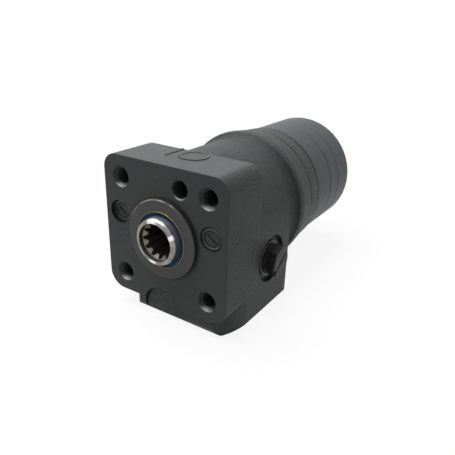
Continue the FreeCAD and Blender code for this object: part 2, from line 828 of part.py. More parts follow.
def make_thrust_bearing():
    """Two races, and between them a cage whose windows hold the rollers."""
    outer = sleeve_outer
    ring_body("front_race", tube(s.race_hole, outer, bearing_start, bearing_start + s.race_thickness))
    ring_body("rear_race", tube(s.race_hole, outer, rear_race_start, rear_race_start + s.race_thickness))
    cage = new_body("needle_cage")
    half = s.cage_thickness / 2
    turn_profile(cage, "cage_profile", tube(s.race_hole, outer - s.running_gap,
                                            rollers_middle - half, rollers_middle + half))
    window = new_sketch(cage, "cage_window", "XZ_Plane", (0, 0, -(rollers_middle - half - CLEAR)))
    room = s.roller_diameter / 2 + s.running_gap
    inner = s.roller_pitch_radius - s.roller_length / 2 - s.running_gap
    end = s.roller_pitch_radius + s.roller_length / 2 + s.running_gap
    draw_outline(window, [(inner, -room), (end, -room), (end, room), (inner, room)])
    doc.recompute()
    cut = pocket(cage, window, s.cage_thickness + CLEAR * 2)
    around_axis(cage, [cut], s.roller_count.value)
    rollers = new_body("needle_rollers")
    radius = s.roller_diameter / 2
    start, stop = inner + s.running_gap, end - s.running_gap
    roller = turn_profile(rollers, "roller", [(start, 0), (stop, 0), (stop, radius), (start, radius)],
                          axis="H_Axis", shift=(0, rollers_middle, 0))
    around_axis(rollers, [roller], s.roller_count.value)


def spline_space(root, tip, teeth, tip_share, root_share, turn=0.0):
    """One gap between teeth of an internal spline, from inside the tips out to the roots.
    The shares say how much of the tooth pitch the gap takes there; turn is its angle in degrees."""
    half_pitch = math.pi / teeth
    middle = math.radians(turn)
    inside = tip - CLEAR / 2
    wide, narrow = half_pitch * tip_share, half_pitch * root_share
    corners = []
    for radius, angle in ((inside, -wide), (tip, -wide), (root, -narrow), (root, narrow), (tip, wide),
                          (inside, wide)):
        corners.append((radius * math.cos(middle + angle), radius * math.sin(middle + angle)))
    return corners


def make_control_spool():
    """Hollow valve spool: rounded front end with a counterbore, then the internal spline behind a
    45 degree lead-in, oil grooves, metering slots, and the openings for pin and springs."""
    body = new_body("control_spool")
    start = -s.spool_stand
    end = s.housing_length - s.spool_tail_gap
    mouth = s.spool_mouth
    neck = start + s.spline_lead
    lead_end = neck + mouth - s.spline_tip
    spline_end = neck + s.spline_length
    turn_profile(body, "spool_profile", [
        (mouth + s.spool_mouth_bevel, start), (s.spool_radius - s.spool_face_round, start),
        (s.spool_radius, start + s.spool_nose_length), (s.spool_radius, end), (s.spool_hollow, end),
        (s.spool_hollow, spline_end), (s.spline_tip, spline_end - s.spool_hollow + s.spline_tip),
        (s.spline_tip, lead_end), (mouth, neck), (mouth, start + s.spool_mouth_bevel)],
        {1: (s.spool_nose_curve, -1)})
    teeth = new_sketch(body, "tooth_gap", "XZ_Plane", (0, 0, s.spool_stand))
    count = SIZES["spline_teeth"]
    draw_outline(teeth, spline_space(s.spline_root, s.spline_tip, count, *SPOOL_SPACE_SHARES,
                                     SIZES["spline_turn"]))
    doc.recompute()
    gap = pocket(body, teeth, s.spline_length + s.spline_lead)
    around_axis(body, [gap], count)
    for i, place in enumerate((s.sleeve_supply_place, s.sleeve_front_place)):
        half = s.spool_groove_width / 2
        floor = s.spool_radius - s.spool_groove_depth
        profile = tube(floor, s.spool_radius + CLEAR, place - half, place + half)
        turn_profile(body, f"spool_groove_{i}", profile, cut=True)
    slot = new_sketch(body, "metering_slot", "YZ_Plane", (0, 0, s.spool_radius - s.spool_slot_depth))
    half = s.spool_slot_width / 2
    draw_outline(slot, [(s.spool_slot_place, -half), (s.spool_slot_place + s.spool_slot_length, -half),
                        (s.spool_slot_place + s.spool_slot_length, half), (s.spool_slot_place, half)])
    doc.recompute()
    cut = pocket(body, slot, s.spool_slot_depth + CLEAR, against_normal=False)
    around_axis(body, [cut], STAR_LOBES)
    cross_holes(body, "spool_pin_window", s.pin_radius + s.pin_window_gap, s.spool_radius + CLEAR)
    leaf_slots(body, "spool_leaf_slot", s.spool_radius + CLEAR)


def cross_holes(body, name, radius, reach):
    """A hole along X, right through, at the cross pin's place."""
    hole = new_sketch(body, name, "YZ_Plane", (0, 0, reach))
    draw_circle(hole, s.pin_place, 0, radius)
    doc.recompute()
    return pocket(body, hole, reach * 2)


def leaf_slots(body, name, reach):
    """Slots along X, right through, for the neutral-position springs."""
    slot = new_sketch(body, name, "YZ_Plane", (0, 0, reach))
    half = s.leaf_width / 2 + s.leaf_slot_gap
    low, high = s.leaf_place - half, s.leaf_place + half
    rise = leaf_slot_half
    draw_outline(slot, [(low, -rise), (high, -rise), (high, rise), (low, rise)])
    doc.recompute()
    return pocket(body, slot, reach * 2)


def make_control_sleeve():
    """Sleeve around the spool, with oil grooves, rows of holes, and a seat for the springs' ring."""
    body = new_body("control_sleeve")
    end = s.housing_length - s.sleeve_end_gap
    step = s.ring_front + s.ring_length + s.ring_seat_spare
    turn_profile(body, "sleeve_profile", [
        (sleeve_inner, sleeve_start), (ring_seat, sleeve_start), (ring_seat, step),
        (sleeve_outer, step), (sleeve_outer, end), (sleeve_inner, end)])
    half = s.sleeve_groove_width / 2
    for i, place in enumerate((s.sleeve_supply_place, s.sleeve_front_place)):
        turn_profile(body, f"oil_groove_{i}", tube(sleeve_outer - s.sleeve_oil_groove, sleeve_outer + CLEAR,
                                                   place - half, place + half), cut=True)
    rows = ((s.sleeve_supply_place, STAR_LOBES), (s.sleeve_front_place, STAR_LOBES),
            (s.sleeve_metering_place, 2 * STAR_LOBES))
    for i, (place, count) in enumerate(rows):
        hole = new_sketch(body, f"oil_hole_{i}", "YZ_Plane", (0, 0, sleeve_inner - CLEAR))
        draw_circle(hole, place, 0, s.sleeve_hole)
        doc.recompute()
        cut = pocket(body, hole, s.sleeve_bore - sleeve_inner + CLEAR * 2, against_normal=False)
        around_axis(body, [cut], count)
    cross_holes(body, "sleeve_pin_hole", s.pin_radius + s.running_gap / 2, s.sleeve_bore + CLEAR)
    leaf_slots(body, "sleeve_leaf_slot", s.sleeve_bore + CLEAR)


def make_leaf_springs():
    """Two flat and four arched leaves of the same length and width, packed about the middle plane."""
    thick = s.leaf_thickness
    gap = s.leaf_gap
    half_width = s.leaf_width / 2
    reach = ring_seat - s.leaf_end_gap
    front = (0, 0, -(s.leaf_place - half_width))
    flat = new_body("flat_leaves")
    for name, sign in (("upper", 1), ("lower", -1)):
        leaf = new_sketch(flat, "flat_" + name, "XZ_Plane", front)
        near, far = gap / 2 * sign, (gap / 2 + thick) * sign
        draw_outline(leaf, [(-reach, near), (reach, near), (reach, far), (-reach, far)])
        doc.recompute()
        pad(flat, leaf, s.leaf_width, forward=False)
    arched = new_body("arched_leaves")
    for name, layer in (("inner", 0), ("outer", 1)):
        for side, sign in (("upper", 1), ("lower", -1)):
            low = gap * 1.5 + thick + (thick + gap) * layer
            leaf = new_sketch(arched, f"arched_{name}_{side}", "XZ_Plane", front)
            draw_arched_leaf(leaf, reach, low, sign)
            doc.recompute()
            pad(arched, leaf, s.leaf_width, forward=False)


def draw_arched_leaf(sketch, reach, low, sign):
    """An arched strip: its middle touches the flat leaves and its ends stand away from them."""
    thick = s.leaf_thickness
    rise = s.leaf_arch
    inner_ends = (low + rise) * sign
    outer_ends = (low + rise + thick) * sign
    middle_inner = low * sign
    middle_outer = (low + thick) * sign
    radius = (reach * reach + rise * rise) / (rise * 2)
    draw_outline(sketch, [(-reach, inner_ends), (0, middle_inner), (reach, inner_ends), (reach, outer_ends),
                          (0, middle_outer), (-reach, outer_ends)],
                 {0: (radius, -sign), 1: (radius, -sign), 3: (radius, sign), 4: (radius, sign)})


def make_cardan_drive():
    """Ring around the leaf springs, cross pin, cardan shaft and the spacer behind the shaft."""
    ring_body("spring_ring", tube(ring_seat + s.ring_seat_gap, sleeve_outer, s.ring_front,
                                  s.ring_front + s.ring_length))
    pin = new_body("cross_pin")
    half = sleeve_outer - s.pin_end_gap
    bevel = s.pin_bevel
    turn_profile(pin, "pin_profile", [
        (-half, 0), (-half, s.pin_radius - bevel), (-half + bevel, s.pin_radius), (half - bevel, s.pin_radius),
        (half, s.pin_radius - bevel), (half, 0)], axis="H_Axis", shift=(0, s.pin_place, 0))
    make_cardan_shaft()
    spacer_end = ring_end - s.spacer_end_gap
    spacer_start = spacer_end - s.spacer_thickness
    ring_body("cardan_spacer", tube(0, s.spacer_radius, spacer_start, spacer_end), place=(s.orbit_radius, 0, 0))


def make_cardan_shaft():
    """Drive shaft from the cross pin to the star. It is built about its pivot on the cross pin."""
    body = new_body("cardan_shaft")
    head = s.cardan_head_half_length
    reach = star_middle - s.pin_place
    tail_end = reach + s.cardan_tail_past_middle
    tail_start = tail_end - s.cardan_tail_length
    tip = s.star_spline_root - s.cardan_tooth_gap
    bevel = s.cardan_tail_bevel
    taper = s.cardan_head_taper
    turn_profile(body, "cardan_profile", [
        (0, -head), (s.cardan_head_radius - taper, -head), (s.cardan_head_radius, -head / 2),
        (s.cardan_head_radius, head / 2), (s.cardan_stem_radius, head + taper),
        (s.cardan_stem_radius, tail_start - s.cardan_tail_taper), (tip - bevel, tail_start),
        (tip, tail_start + bevel), (tip, tail_end - bevel), (tip - bevel, tail_end), (0, tail_end)])
    side = s.cardan_head_radius + CLEAR
    slot = new_sketch(body, "pin_slot", "YZ_Plane", (0, 0, side))
    half = s.pin_radius + s.cardan_slot_gap
    middle = s.cardan_slot_room
    draw_outline(slot, [(-head - CLEAR, -half), (middle, -half), (middle + half, 0), (middle, half),
                        (-head - CLEAR, half)], {1: (half, -1), 2: (half, -1)})
    doc.recompute()
    pocket(body, slot, side * 2)
    gap_start = tail_start - s.cardan_tail_taper - CLEAR
    gap_sketch = new_sketch(body, "tail_gap", "XZ_Plane", (0, 0, -gap_start))
    teeth = SIZES["spline_teeth"]
    pitch = 2 * math.pi / teeth
    rows = zip((s.star_spline_tip - s.cardan_tooth_gap, tip + CLEAR), CARDAN_GAP_SHARES)
    (root, root_share), (outer, outer_share) = rows
    corners = []
    for radius, share in ((root, root_share), (outer, outer_share), (outer, 1 - outer_share),
                          (root, 1 - root_share)):
        angle = pitch * share
        corners.append((radius * math.cos(angle), radius * math.sin(angle)))
    draw_outline(gap_sketch, corners)
    doc.recompute()
    cut = pocket(body, gap_sketch, tail_end - gap_start + CLEAR)
    around_axis(body, [cut], teeth)
    lean = math.degrees(math.atan2(s.orbit_radius.value, reach.value))
    body.Placement = FreeCAD.Placement(FreeCAD.Vector(), FreeCAD.Rotation(FreeCAD.Vector(0, 0, 1), -lean))
    bind(body, "Placement.Base.y", s.pin_place)


def make_stack():
    """Plate, gear set and cover behind the housing, with the sealing rings between them."""
    outer = s.stack_radius
    edge = s.stack_edge
    groove_in = s.seal_groove_inner
    groove_out = groove_in + (s.seal_ring_section + s.seal_groove_side_gap) * 2
    depth = (s.seal_ring_section + s.seal_groove_end_gap) * 2
    front = s.housing_length
    plate = new_body("distributor_plate")
    turn_profile(plate, "plate_profile", [
        (s.plate_hole, front), (groove_in, front), (groove_in, front + depth), (groove_out, front + depth),
        (groove_out, front), (outer - s.plate_edge, front), (outer, front + s.plate_edge),
        (outer, plate_end - edge),
        (outer - edge, plate_end), (groove_out, plate_end), (groove_out, plate_end - depth),
        (groove_in, plate_end - depth), (groove_in, plate_end), (s.plate_hole, plate_end)])
    screw_holes(plate, front, plate_end)
    passages = new_sketch(plate, "plate_passage", "XZ_Plane", (0, 0, -front))
    x, z = on_circle(s.passage_circle, HALF_LOBE_ANGLE)
    draw_circle(passages, x, z, s.passage_radius)
    doc.recompute()
    around_axis(plate, [pocket(plate, passages, s.plate_thickness)], RING_LOBES)
    make_gear_ring()
    make_gear_star()
    cover = new_body("end_cover")
    turn_profile(cover, "cover_profile", [
        (0, ring_end), (groove_in, ring_end), (groove_in, ring_end + depth), (groove_out, ring_end + depth),
        (groove_out, ring_end), (outer - edge, ring_end), (outer, ring_end + edge),
        (outer, cover_end - s.cover_edge_length), (outer - s.cover_edge_drop, cover_end), (0, cover_end)],
        {7: (s.cover_edge_curve, -1)})
    screw_holes(cover, ring_end, cover_end)
    section = s.seal_ring_section
    middle = depth / 2
    for name, place in (("front", front + middle), ("middle", plate_end - middle),
                        ("rear", ring_end + middle)):
        torus_piece(name + "_seal_ring", (groove_in + groove_out) / 2, section, place)


def torus_piece(label, ring_radius, section, place):
    """A sealing ring of round section, lying across the spool axis."""
    ring = doc.addObject("Part::Torus", label)
    ring.Label = label
    bind(ring, "Radius1", ring_radius)
    bind(ring, "Radius2", section)
    ring.Placement = FreeCAD.Placement(FreeCAD.Vector(), FreeCAD.Rotation(FreeCAD.Vector(1, 0, 0), -90))
    bind(ring, "Placement.Base.y", place)
    doc.recompute()
    pieces.append(ring)


def screw_holes(body, start, end):
    """Seven clearance holes for the cover screws."""
    holes = new_sketch(body, body.Label + "_screw_hole", "XZ_Plane", (0, 0, -start))
    draw_circle(holes, s.screw_circle, 0, s.screw_radius + s.screw_clearance)
    doc.recompute()
    around_axis(body, [pocket(body, holes, end - start)], RING_LOBES)


def make_gear_ring():
    """Outer gear: a ring with seven round lobes, its valleys just outside the star's reach."""
    body = new_body("gerotor_ring")
    valley = s.lobe_circle + s.orbit_radius * 2 - s.lobe_radius + s.mesh_gap
    outer = s.stack_radius
    edge = s.stack_edge
    turn_profile(body, "ring_profile", [
        (valley, plate_end), (outer - edge, plate_end), (outer, plate_end + edge), (outer, ring_end - edge),
        (outer - edge, ring_end), (valley, ring_end)])
    lobe = new_sketch(body, "ring_lobe", "XZ_Plane", (0, 0, -plate_end))
    draw_circle(lobe, s.lobe_circle, 0, s.lobe_radius)
    doc.recompute()
    around_axis(body, [pad(body, lobe, s.ring_thickness, forward=False)], RING_LOBES)
    screw_holes(body, plate_end, ring_end)


def make_gear_star():
    """Inner gear. Its outline is the path of a ring lobe's centre, seen from the star while it rolls,
    moved inwards by the lobe's radius: centre path = A at angle t, less e at angle 7 t.
    The path turns fastest in the six hollows, so the angle moves slowest there."""
    lobe_circle, orbit = s.lobe_circle.value, s.orbit_radius.value
    inset = s.lobe_radius.value + s.mesh_gap.value
    steps = STAR_STEPS * STAR_LOBES
    points = []
    for i in range(steps):
        turn = 2 * math.pi * i / steps
        angle = turn - STAR_EASING * math.sin(STAR_LOBES * turn) / STAR_LOBES
        x = lobe_circle * math.cos(angle) - orbit * math.cos(RING_LOBES * angle)
        z = lobe_circle * math.sin(angle) - orbit * math.sin(RING_LOBES * angle)
        run_x = -lobe_circle * math.sin(angle) + RING_LOBES * orbit * math.sin(RING_LOBES * angle)
        run_z = lobe_circle * math.cos(angle) - RING_LOBES * orbit * math.cos(RING_LOBES * angle)
        length = math.hypot(run_x, run_z)
        points.append(FreeCAD.Vector(x - inset * run_z / length, 0, z + inset * run_x / length))
    outline = Part.BSplineCurve()
    outline.interpolate(Points=points, PeriodicFlag=True)
    thickness = s.ring_thickness.value - 2 * s.gear_end_gap.value
    along = FreeCAD.Vector(0, thickness, 0)
    shape = Part.Face(Part.Wire(outline.toShape())).extrude(along)
    teeth = SIZES["spline_teeth"]
    shape = shape.cut(Part.makeCylinder(s.star_spline_tip.value, thickness, FreeCAD.Vector(), along))
    corners = spline_space(s.star_spline_root, s.star_spline_tip, teeth, *STAR_SPACE_SHARES)
    gap = [FreeCAD.Vector(number(u), 0, number(v)) for u, v in corners]
    space = Part.Face(Part.makePolygon(gap + gap[:1])).extrude(along)
    for i in range(teeth):
        turned = space.copy()
        turned.rotate(FreeCAD.Vector(), FreeCAD.Vector(0, 1, 0), 360.0 * i / teeth)
        shape = shape.cut(turned)
    star = doc.addObject("Part::Feature", "gerotor_star")
    star.Label = "gerotor_star"
    star.Shape = shape
    start = plate_end.value + s.gear_end_gap.value
    star.Placement = FreeCAD.Placement(FreeCAD.Vector(orbit, start, 0), FreeCAD.Rotation())
    pieces.append(star)


def make_cover_screws():
    """Hexagon screws through the stack, six plain and one whose pin holds the check ball."""
    under_head = cover_end + s.washer_thickness
    thread_end = s.housing_length - s.screw_grip
    bushing_start = s.housing_length - s.check_bushing_sink - s.check_bushing_length
    ball_place = check_ball_place()
    tip = s.screw_tip_bevel
    pin_root = bushing_start + s.check_pin_root
    screws = new_body("cover_screws")
    check = new_body("check_screw")
    washers = new_body("screw_washers")
    for i, angle in enumerate(screw_angles()):
        is_check = i == CHECK_SCREW_INDEX
        body = check if is_check else screws
        x, z = on_circle(s.screw_circle, angle)
        shank = [(s.screw_core, s.housing_length), (s.screw_radius, s.housing_length + CLEAR),
                 (s.screw_radius, under_head), (0, under_head)]
        if is_check:
            pin_end = ball_place + s.check_ball_radius + s.check_ball_lift
            profile = [(0, pin_end), (s.check_pin_radius, pin_end), (s.check_pin_radius, pin_root),
                       (s.screw_core, pin_root)] + shank
        else:
            profile = [(0, thread_end), (s.screw_core - tip, thread_end),
                       (s.screw_core, thread_end + tip)] + shank
        turn_profile(body, f"screw_{i}", profile, shift=(x, 0, z))
        head = new_sketch(body, f"screw_head_{i}", "XZ_Plane", (x, z, -under_head))
        draw_outline(head, hexagon(s.screw_head_flats))
        doc.recompute()
        pad(body, head, s.screw_head_height, forward=False)
        turn_profile(washers, f"washer_{i}", tube(s.screw_radius + s.screw_clearance, s.washer_radius,
                                                  cover_end, under_head), shift=(x, 0, z))
    x, z = on_circle(s.screw_circle, screw_angles()[CHECK_SCREW_INDEX])
    ring_body("check_bushing", tube(s.screw_core + s.running_gap, s.check_bore - s.running_gap, bushing_start,
                                    bushing_start + s.check_bushing_length), place=(x, 0, z))
    ball_piece("check_ball", s.check_ball_radius, (x, ball_place, z))


def check_ball_place():
    """Centre of the check ball when it rests on its 45 degree seat."""
    cone_start = s.housing_length - s.check_bore_depth - s.check_bore
    return cone_start + s.check_ball_radius * math.sqrt(2) + CONTACT_GAP


def ball_piece(label, radius, place):
    ball = doc.addObject("Part::Sphere", label)
    ball.Label = label
    bind(ball, "Radius", radius)
    for axis, distance in zip("xyz", place):
        bind(ball, "Placement.Base." + axis, distance)
    doc.recompute()
    pieces.append(ball)


def make_relief_valve():
    """Parts of the side bore. Each is drawn along its own Y axis, which is laid along X."""
    place = (0, s.relief_place, -s.relief_drop)
    washer_end = relief_floor + s.relief_washer_thickness
    flange_end = washer_end + s.relief_flange_thickness
    spring_bore = s.relief_poppet_collar
    cup_end = s.relief_thread_end + s.relief_cup_depth
    bevel = s.small_bevel
    plug_start = s.relief_thread_end + s.relief_plug_gap
    plug = new_body("relief_plug")
    turn_profile(plug, "plug_profile", [
        (spring_bore, plug_start), (s.relief_thread, plug_start),
        (s.relief_thread, washer_end), (s.relief_flange_radius, washer_end),
        (s.relief_flange_radius, flange_end - bevel), (s.relief_flange_radius - bevel, flange_end),
        (0, flange_end), (0, cup_end), (spring_bore, cup_end)])
    head = new_sketch(plug, "plug_hexagon", "XZ_Plane", (0, 0, -flange_end))
    draw_outline(head, hexagon(s.relief_hex_flats, SIZES["relief_hex_turn"]))
    doc.recompute()
    pad(plug, head, s.relief_hex_face - flange_end, forward=False)
    rim = s.relief_hex_flats / 2 - s.relief_hex_bevel
    drop = (s.relief_hex_flats - rim) * HEX_BEVEL_SLOPE
    turn_profile(plug, "plug_bevel", [
        (rim, s.relief_hex_face), (s.relief_hex_flats, s.relief_hex_face - drop),
        (s.relief_hex_flats, s.relief_hex_face + CLEAR), (rim, s.relief_hex_face + CLEAR)], cut=True)
    slot = new_sketch(plug, "plug_slot", "XZ_Plane", (0, 0, -s.relief_hex_face),
                      turn=FreeCAD.Rotation(FreeCAD.Vector(0, 0, 1), 180.0 - s.relief_slot_angle.value))
    half = s.relief_slot_width / 2
    length = s.relief_hex_flats
    draw_outline(slot, [(-length, -half), (length, -half), (length, half), (-length, half)])
    doc.recompute()
    pocket(plug, slot, s.relief_slot_depth, against_normal=False)
    place_body(plug, place, along_x=True)
    ring_body("relief_washer", tube(s.relief_thread + s.running_gap, s.relief_washer_radius, relief_floor,
                                    washer_end), place=place, along_x=True)
    seat_start = s.relief_chamber_end
    seat_end = seat_start + s.relief_seat_thickness
    throat = s.relief_seat_hole - s.relief_seat_cone
    ring_body("relief_seat", [
        (throat, seat_start), (s.relief_chamber - s.running_gap, seat_start),
        (s.relief_chamber - s.running_gap, seat_end), (s.relief_seat_hole, seat_end),
        (throat, seat_end - s.relief_seat_cone)], place=place, along_x=True)
    collar_end = seat_end + s.relief_poppet_stem
    nose = s.relief_seat_hole - CONTACT_GAP
    nose_end = seat_end - nose + bevel
    collar = s.relief_poppet_collar - bevel / 2
    stem_end = collar_end + s.relief_poppet_stem
    ring_body("relief_poppet", [
        (0, nose_end), (bevel, nose_end), (nose, seat_end), (collar, seat_end + bevel), (collar, collar_end),
        (s.relief_poppet_stem, collar_end), (s.relief_poppet_stem, stem_end), (0, stem_end)],
        place=place, along_x=True)
    coil = coil_piece("relief_spring", spring_bore - s.relief_spring_wire - s.spring_side_gap,
                      s.relief_spring_wire, collar_end, cup_end, RELIEF_SPRING_TURNS)
    place_body(coil, place, along_x=True)


def coil_piece(label, radius, wire, start, end, turns):
    """A compression spring: round wire swept along a helix about the body's own Y axis."""
    body = new_body(label)
    section = new_sketch(body, label + "_wire", "XY_Plane")
    first = start + wire + CONTACT_GAP
    last = end - wire - CONTACT_GAP
    draw_circle(section, radius, first, wire)
    doc.recompute()
    helix = body.newObject("PartDesign::AdditiveHelix", label + "_coil")
    helix.Profile = section
    helix.ReferenceAxis = (section, ["V_Axis"])
    helix.Mode = "height-turns-growth"
    helix.Height = number(last - first)
    bind(helix, "Height", last - first)
    helix.Turns = turns
    helix.Growth = 0
    doc.recompute()
    return body


def make_front_valves():
    """The two valves of the front face: threaded sleeve, slotted screw in it, spring and ball."""
    inner = s.front_valve_thread - s.front_valve_sleeve_wall
    inner_bevel, outer_bevel = s.front_valve_inner_bevel, s.front_valve_outer_bevel
    seat = s.front_valve_chamber_end + s.front_valve_chamber
    ball_place = seat - s.front_valve_ball * math.sqrt(2) - CONTACT_GAP
    spring_end = ball_place - s.front_valve_ball * BALL_CHORD_SHARE
    for name, sign, depth in front_valves():
        place = (s.front_valve_side * sign, 0, s.front_valve_height)
        end = depth + s.front_valve_sleeve_length - s.running_gap
        ring_body(name + "_valve_sleeve", [
            (inner, depth + inner_bevel), (inner + inner_bevel, depth),
            (s.front_valve_thread - outer_bevel, depth), (s.front_valve_thread, depth + outer_bevel),
            (s.front_valve_thread, end), (inner, end)], place=place)
        face = depth + s.front_valve_screw_sink
        make_valve_screw(name, inner - s.running_gap, face, place)
        coil = coil_piece(name + "_valve_spring", s.front_valve_ball * BALL_SPRING_SHARE,
                          s.front_valve_spring_wire, face + s.front_valve_screw_length, spring_end,
                          VALVE_SPRING_TURNS)
        place_body(coil, place)
        ball_piece(name + "_valve_ball", s.front_valve_ball, (place[0], ball_place, place[2]))


def make_valve_screw(name, radius, face, place):
    """A plain round screw with a slot whose ends stop short of its edge."""
    body = new_body(name + "_valve_screw")
    bevel = s.front_valve_inner_bevel
    end = face + s.front_valve_screw_length
    turn_profile(body, name + "_screw_profile", [
        (0, face), (radius - bevel, face), (radius, face + bevel), (radius, end), (0, end)])
    slot = new_sketch(body, name + "_screw_slot", "XZ_Plane", (0, 0, -face),
                      turn=FreeCAD.Rotation(FreeCAD.Vector(0, 0, 1), -s.front_valve_slot_angle.value))
    half = s.front_valve_slot_width / 2
    reach = s.front_valve_slot_reach
    draw_outline(slot, [(-reach, -half), (reach, -half), (reach, half), (-reach, half)])
    doc.recompute()
    pocket(body, slot, s.front_valve_slot_depth)
    place_body(body, place)


def check_and_write():
    """See that every feature computed and every piece is valid, then write one file for each."""
    doc.recompute()
    for item in doc.Objects:
        if "Invalid" in item.State or "Error" in item.State:
            raise RuntimeError(f"{item.Label} did not compute: {item.State}")
    os.makedirs("parts", exist_ok=True)
    for piece in pieces:
        if piece.Shape.isNull() or not piece.Shape.isValid():
            raise RuntimeError(f"{piece.Label} has no valid shape")
        box = piece.Shape.BoundBox
        spans = [f"{low:8.2f}{high:8.2f}" for low, high in (
            (box.XMin, box.XMax), (box.YMin, box.YMax), (box.ZMin, box.ZMax))]
        print(f"{piece.Label:22s}{len(piece.Shape.Solids):3d}{piece.Shape.Volume:10.0f}", *spans)
        piece.Shape.exportStep(f"parts/{piece.Label}.step")


make_housing()
make_seals()
make_thrust_bearing()
make_control_spool()
make_control_sleeve()
make_leaf_springs()
make_cardan_drive()
make_stack()
make_cover_screws()
make_relief_valve()
make_front_valves()
check_and_write()
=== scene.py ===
"""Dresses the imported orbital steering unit: finishes, fine turned and cast detail, studio and camera.

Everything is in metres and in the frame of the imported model: +X to the right seen from the front, +Y along the
spool axis to the rear, +Z up. The origin is the centre of the mounting face.
"""

import json
import logging
import math
from dataclasses import dataclass, field
from enum import Enum
from functools import cached_property, reduce
from typing import Iterable, Optional, Sequence, Union

import bpy
import numpy as np
from mathutils import Matrix, Vector


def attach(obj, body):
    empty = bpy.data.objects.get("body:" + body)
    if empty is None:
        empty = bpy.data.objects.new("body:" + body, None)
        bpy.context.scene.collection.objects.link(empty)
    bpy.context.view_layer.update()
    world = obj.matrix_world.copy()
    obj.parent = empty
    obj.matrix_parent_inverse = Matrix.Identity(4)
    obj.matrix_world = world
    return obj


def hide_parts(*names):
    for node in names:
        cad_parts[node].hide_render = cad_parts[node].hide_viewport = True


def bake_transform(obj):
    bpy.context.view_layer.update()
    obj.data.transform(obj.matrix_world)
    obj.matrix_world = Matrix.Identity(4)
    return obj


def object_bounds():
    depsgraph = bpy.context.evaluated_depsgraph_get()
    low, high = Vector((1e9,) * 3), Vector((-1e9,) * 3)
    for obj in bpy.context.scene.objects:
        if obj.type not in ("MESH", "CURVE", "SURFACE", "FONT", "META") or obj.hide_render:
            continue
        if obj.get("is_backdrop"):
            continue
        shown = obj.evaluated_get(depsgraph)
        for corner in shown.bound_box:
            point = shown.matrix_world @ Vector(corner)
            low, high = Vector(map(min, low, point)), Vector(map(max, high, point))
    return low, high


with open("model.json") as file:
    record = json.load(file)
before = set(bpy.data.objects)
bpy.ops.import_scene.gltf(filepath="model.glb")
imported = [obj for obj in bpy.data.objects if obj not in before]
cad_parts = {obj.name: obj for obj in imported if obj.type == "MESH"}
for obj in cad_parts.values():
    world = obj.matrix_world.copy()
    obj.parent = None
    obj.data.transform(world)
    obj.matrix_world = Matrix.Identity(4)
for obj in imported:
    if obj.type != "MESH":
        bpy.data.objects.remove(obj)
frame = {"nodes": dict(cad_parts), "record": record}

Array = np.ndarray
Colour = tuple[float, float, float]
Point = tuple[float, float, float]
Range = tuple[float, float]
Link = Union["Wire", float, Sequence[float]]
Sockets = dict[Union[int, str], Link]

MM = 0.001
WHITE = (1.0, 1.0, 1.0, 1.0)
HOUSING_BODY = "housing_group"
# The column holes' distance from both middle planes, the front valves' X and Z, and the side bore's Y and Z
COLUMN_HOLE_PLACE = 41.25 * MM * math.sqrt(0.5)
VALVE_PLACE = (31.2 * MM, 8.2 * MM)
BORE_PLACE = (49.0 * MM, -19.4 * MM)
SCREWS = 7
CHECK_SCREW_INDEX = 5

logging.basicConfig(level=logging.INFO, format="%(message)s")
log = logging.getLogger("steering_unit")


class Grain(Enum):
    """The fine relief that a finish leaves on a surface."""

    SMOOTH = "smooth"
    CAST = "cast"
    TURNED = "turned"
    GROUND = "ground"


class Wire:
    """One output socket, with the arithmetic that adds Math nodes for it."""

    def __init__(self, graph: "Graph", socket: bpy.types.NodeSocket) -> None:
        """Wraps a socket of a graph."""
        self.graph = graph
        self.socket = socket

    def _math(self, operation: str, first: Link, second: Link) -> "Wire":
        """Adds one Math node of this operation and returns its result."""
        return self.graph.node("ShaderNodeMath", {"operation": operation}, {0: first, 1: second})

    def __add__(self, other: Link) -> "Wire":
        """Sum."""
        return self._math("ADD", self, other)

    def __radd__(self, other: Link) -> "Wire":
        """Sum with the wire on the right."""
        return self._math("ADD", other, self)

    def __sub__(self, other: Link) -> "Wire":
        """Difference."""
        return self._math("SUBTRACT", self, other)

    def __rsub__(self, other: Link) -> "Wire":
        """Difference with the wire on the right."""
        return self._math("SUBTRACT", other, self)

    def __mul__(self, other: Link) -> "Wire":
        """Product."""
        return self._math("MULTIPLY", self, other)

    def __rmul__(self, other: Link) -> "Wire":
        """Product with the wire on the right."""
        return self._math("MULTIPLY", other, self)

    def __truediv__(self, other: Link) -> "Wire":
        """Quotient."""
        return self._math("DIVIDE", self, other)

    def __gt__(self, other: Link) -> "Wire":
        """1 where the wire is above the other, and 0 elsewhere."""
        return self._math("GREATER_THAN", self, other)

    def __lt__(self, other: Link) -> "Wire":
        """1 where the wire is below the other, and 0 elsewhere."""
        return self._math("LESS_THAN", self, other)

    def larger(self, other: Link) -> "Wire":
        """The larger of two values."""
        return self._math("MAXIMUM", self, other)

    def size(self) -> "Wire":
        """The value without its sign."""
        return self._math("ABSOLUTE", self, 0.0)

    def root(self) -> "Wire":
        """Square root."""
        return self._math("SQRT", self, 0.0)

    def ramp(self, low: float, high: float) -> "Wire":
        """Smooth step from 0 at low to 1 at high."""
        return self.graph.node("ShaderNodeMapRange", {"interpolation_type": "SMOOTHSTEP"},
                               {"Value": self, "From Min": low, "From Max": high})


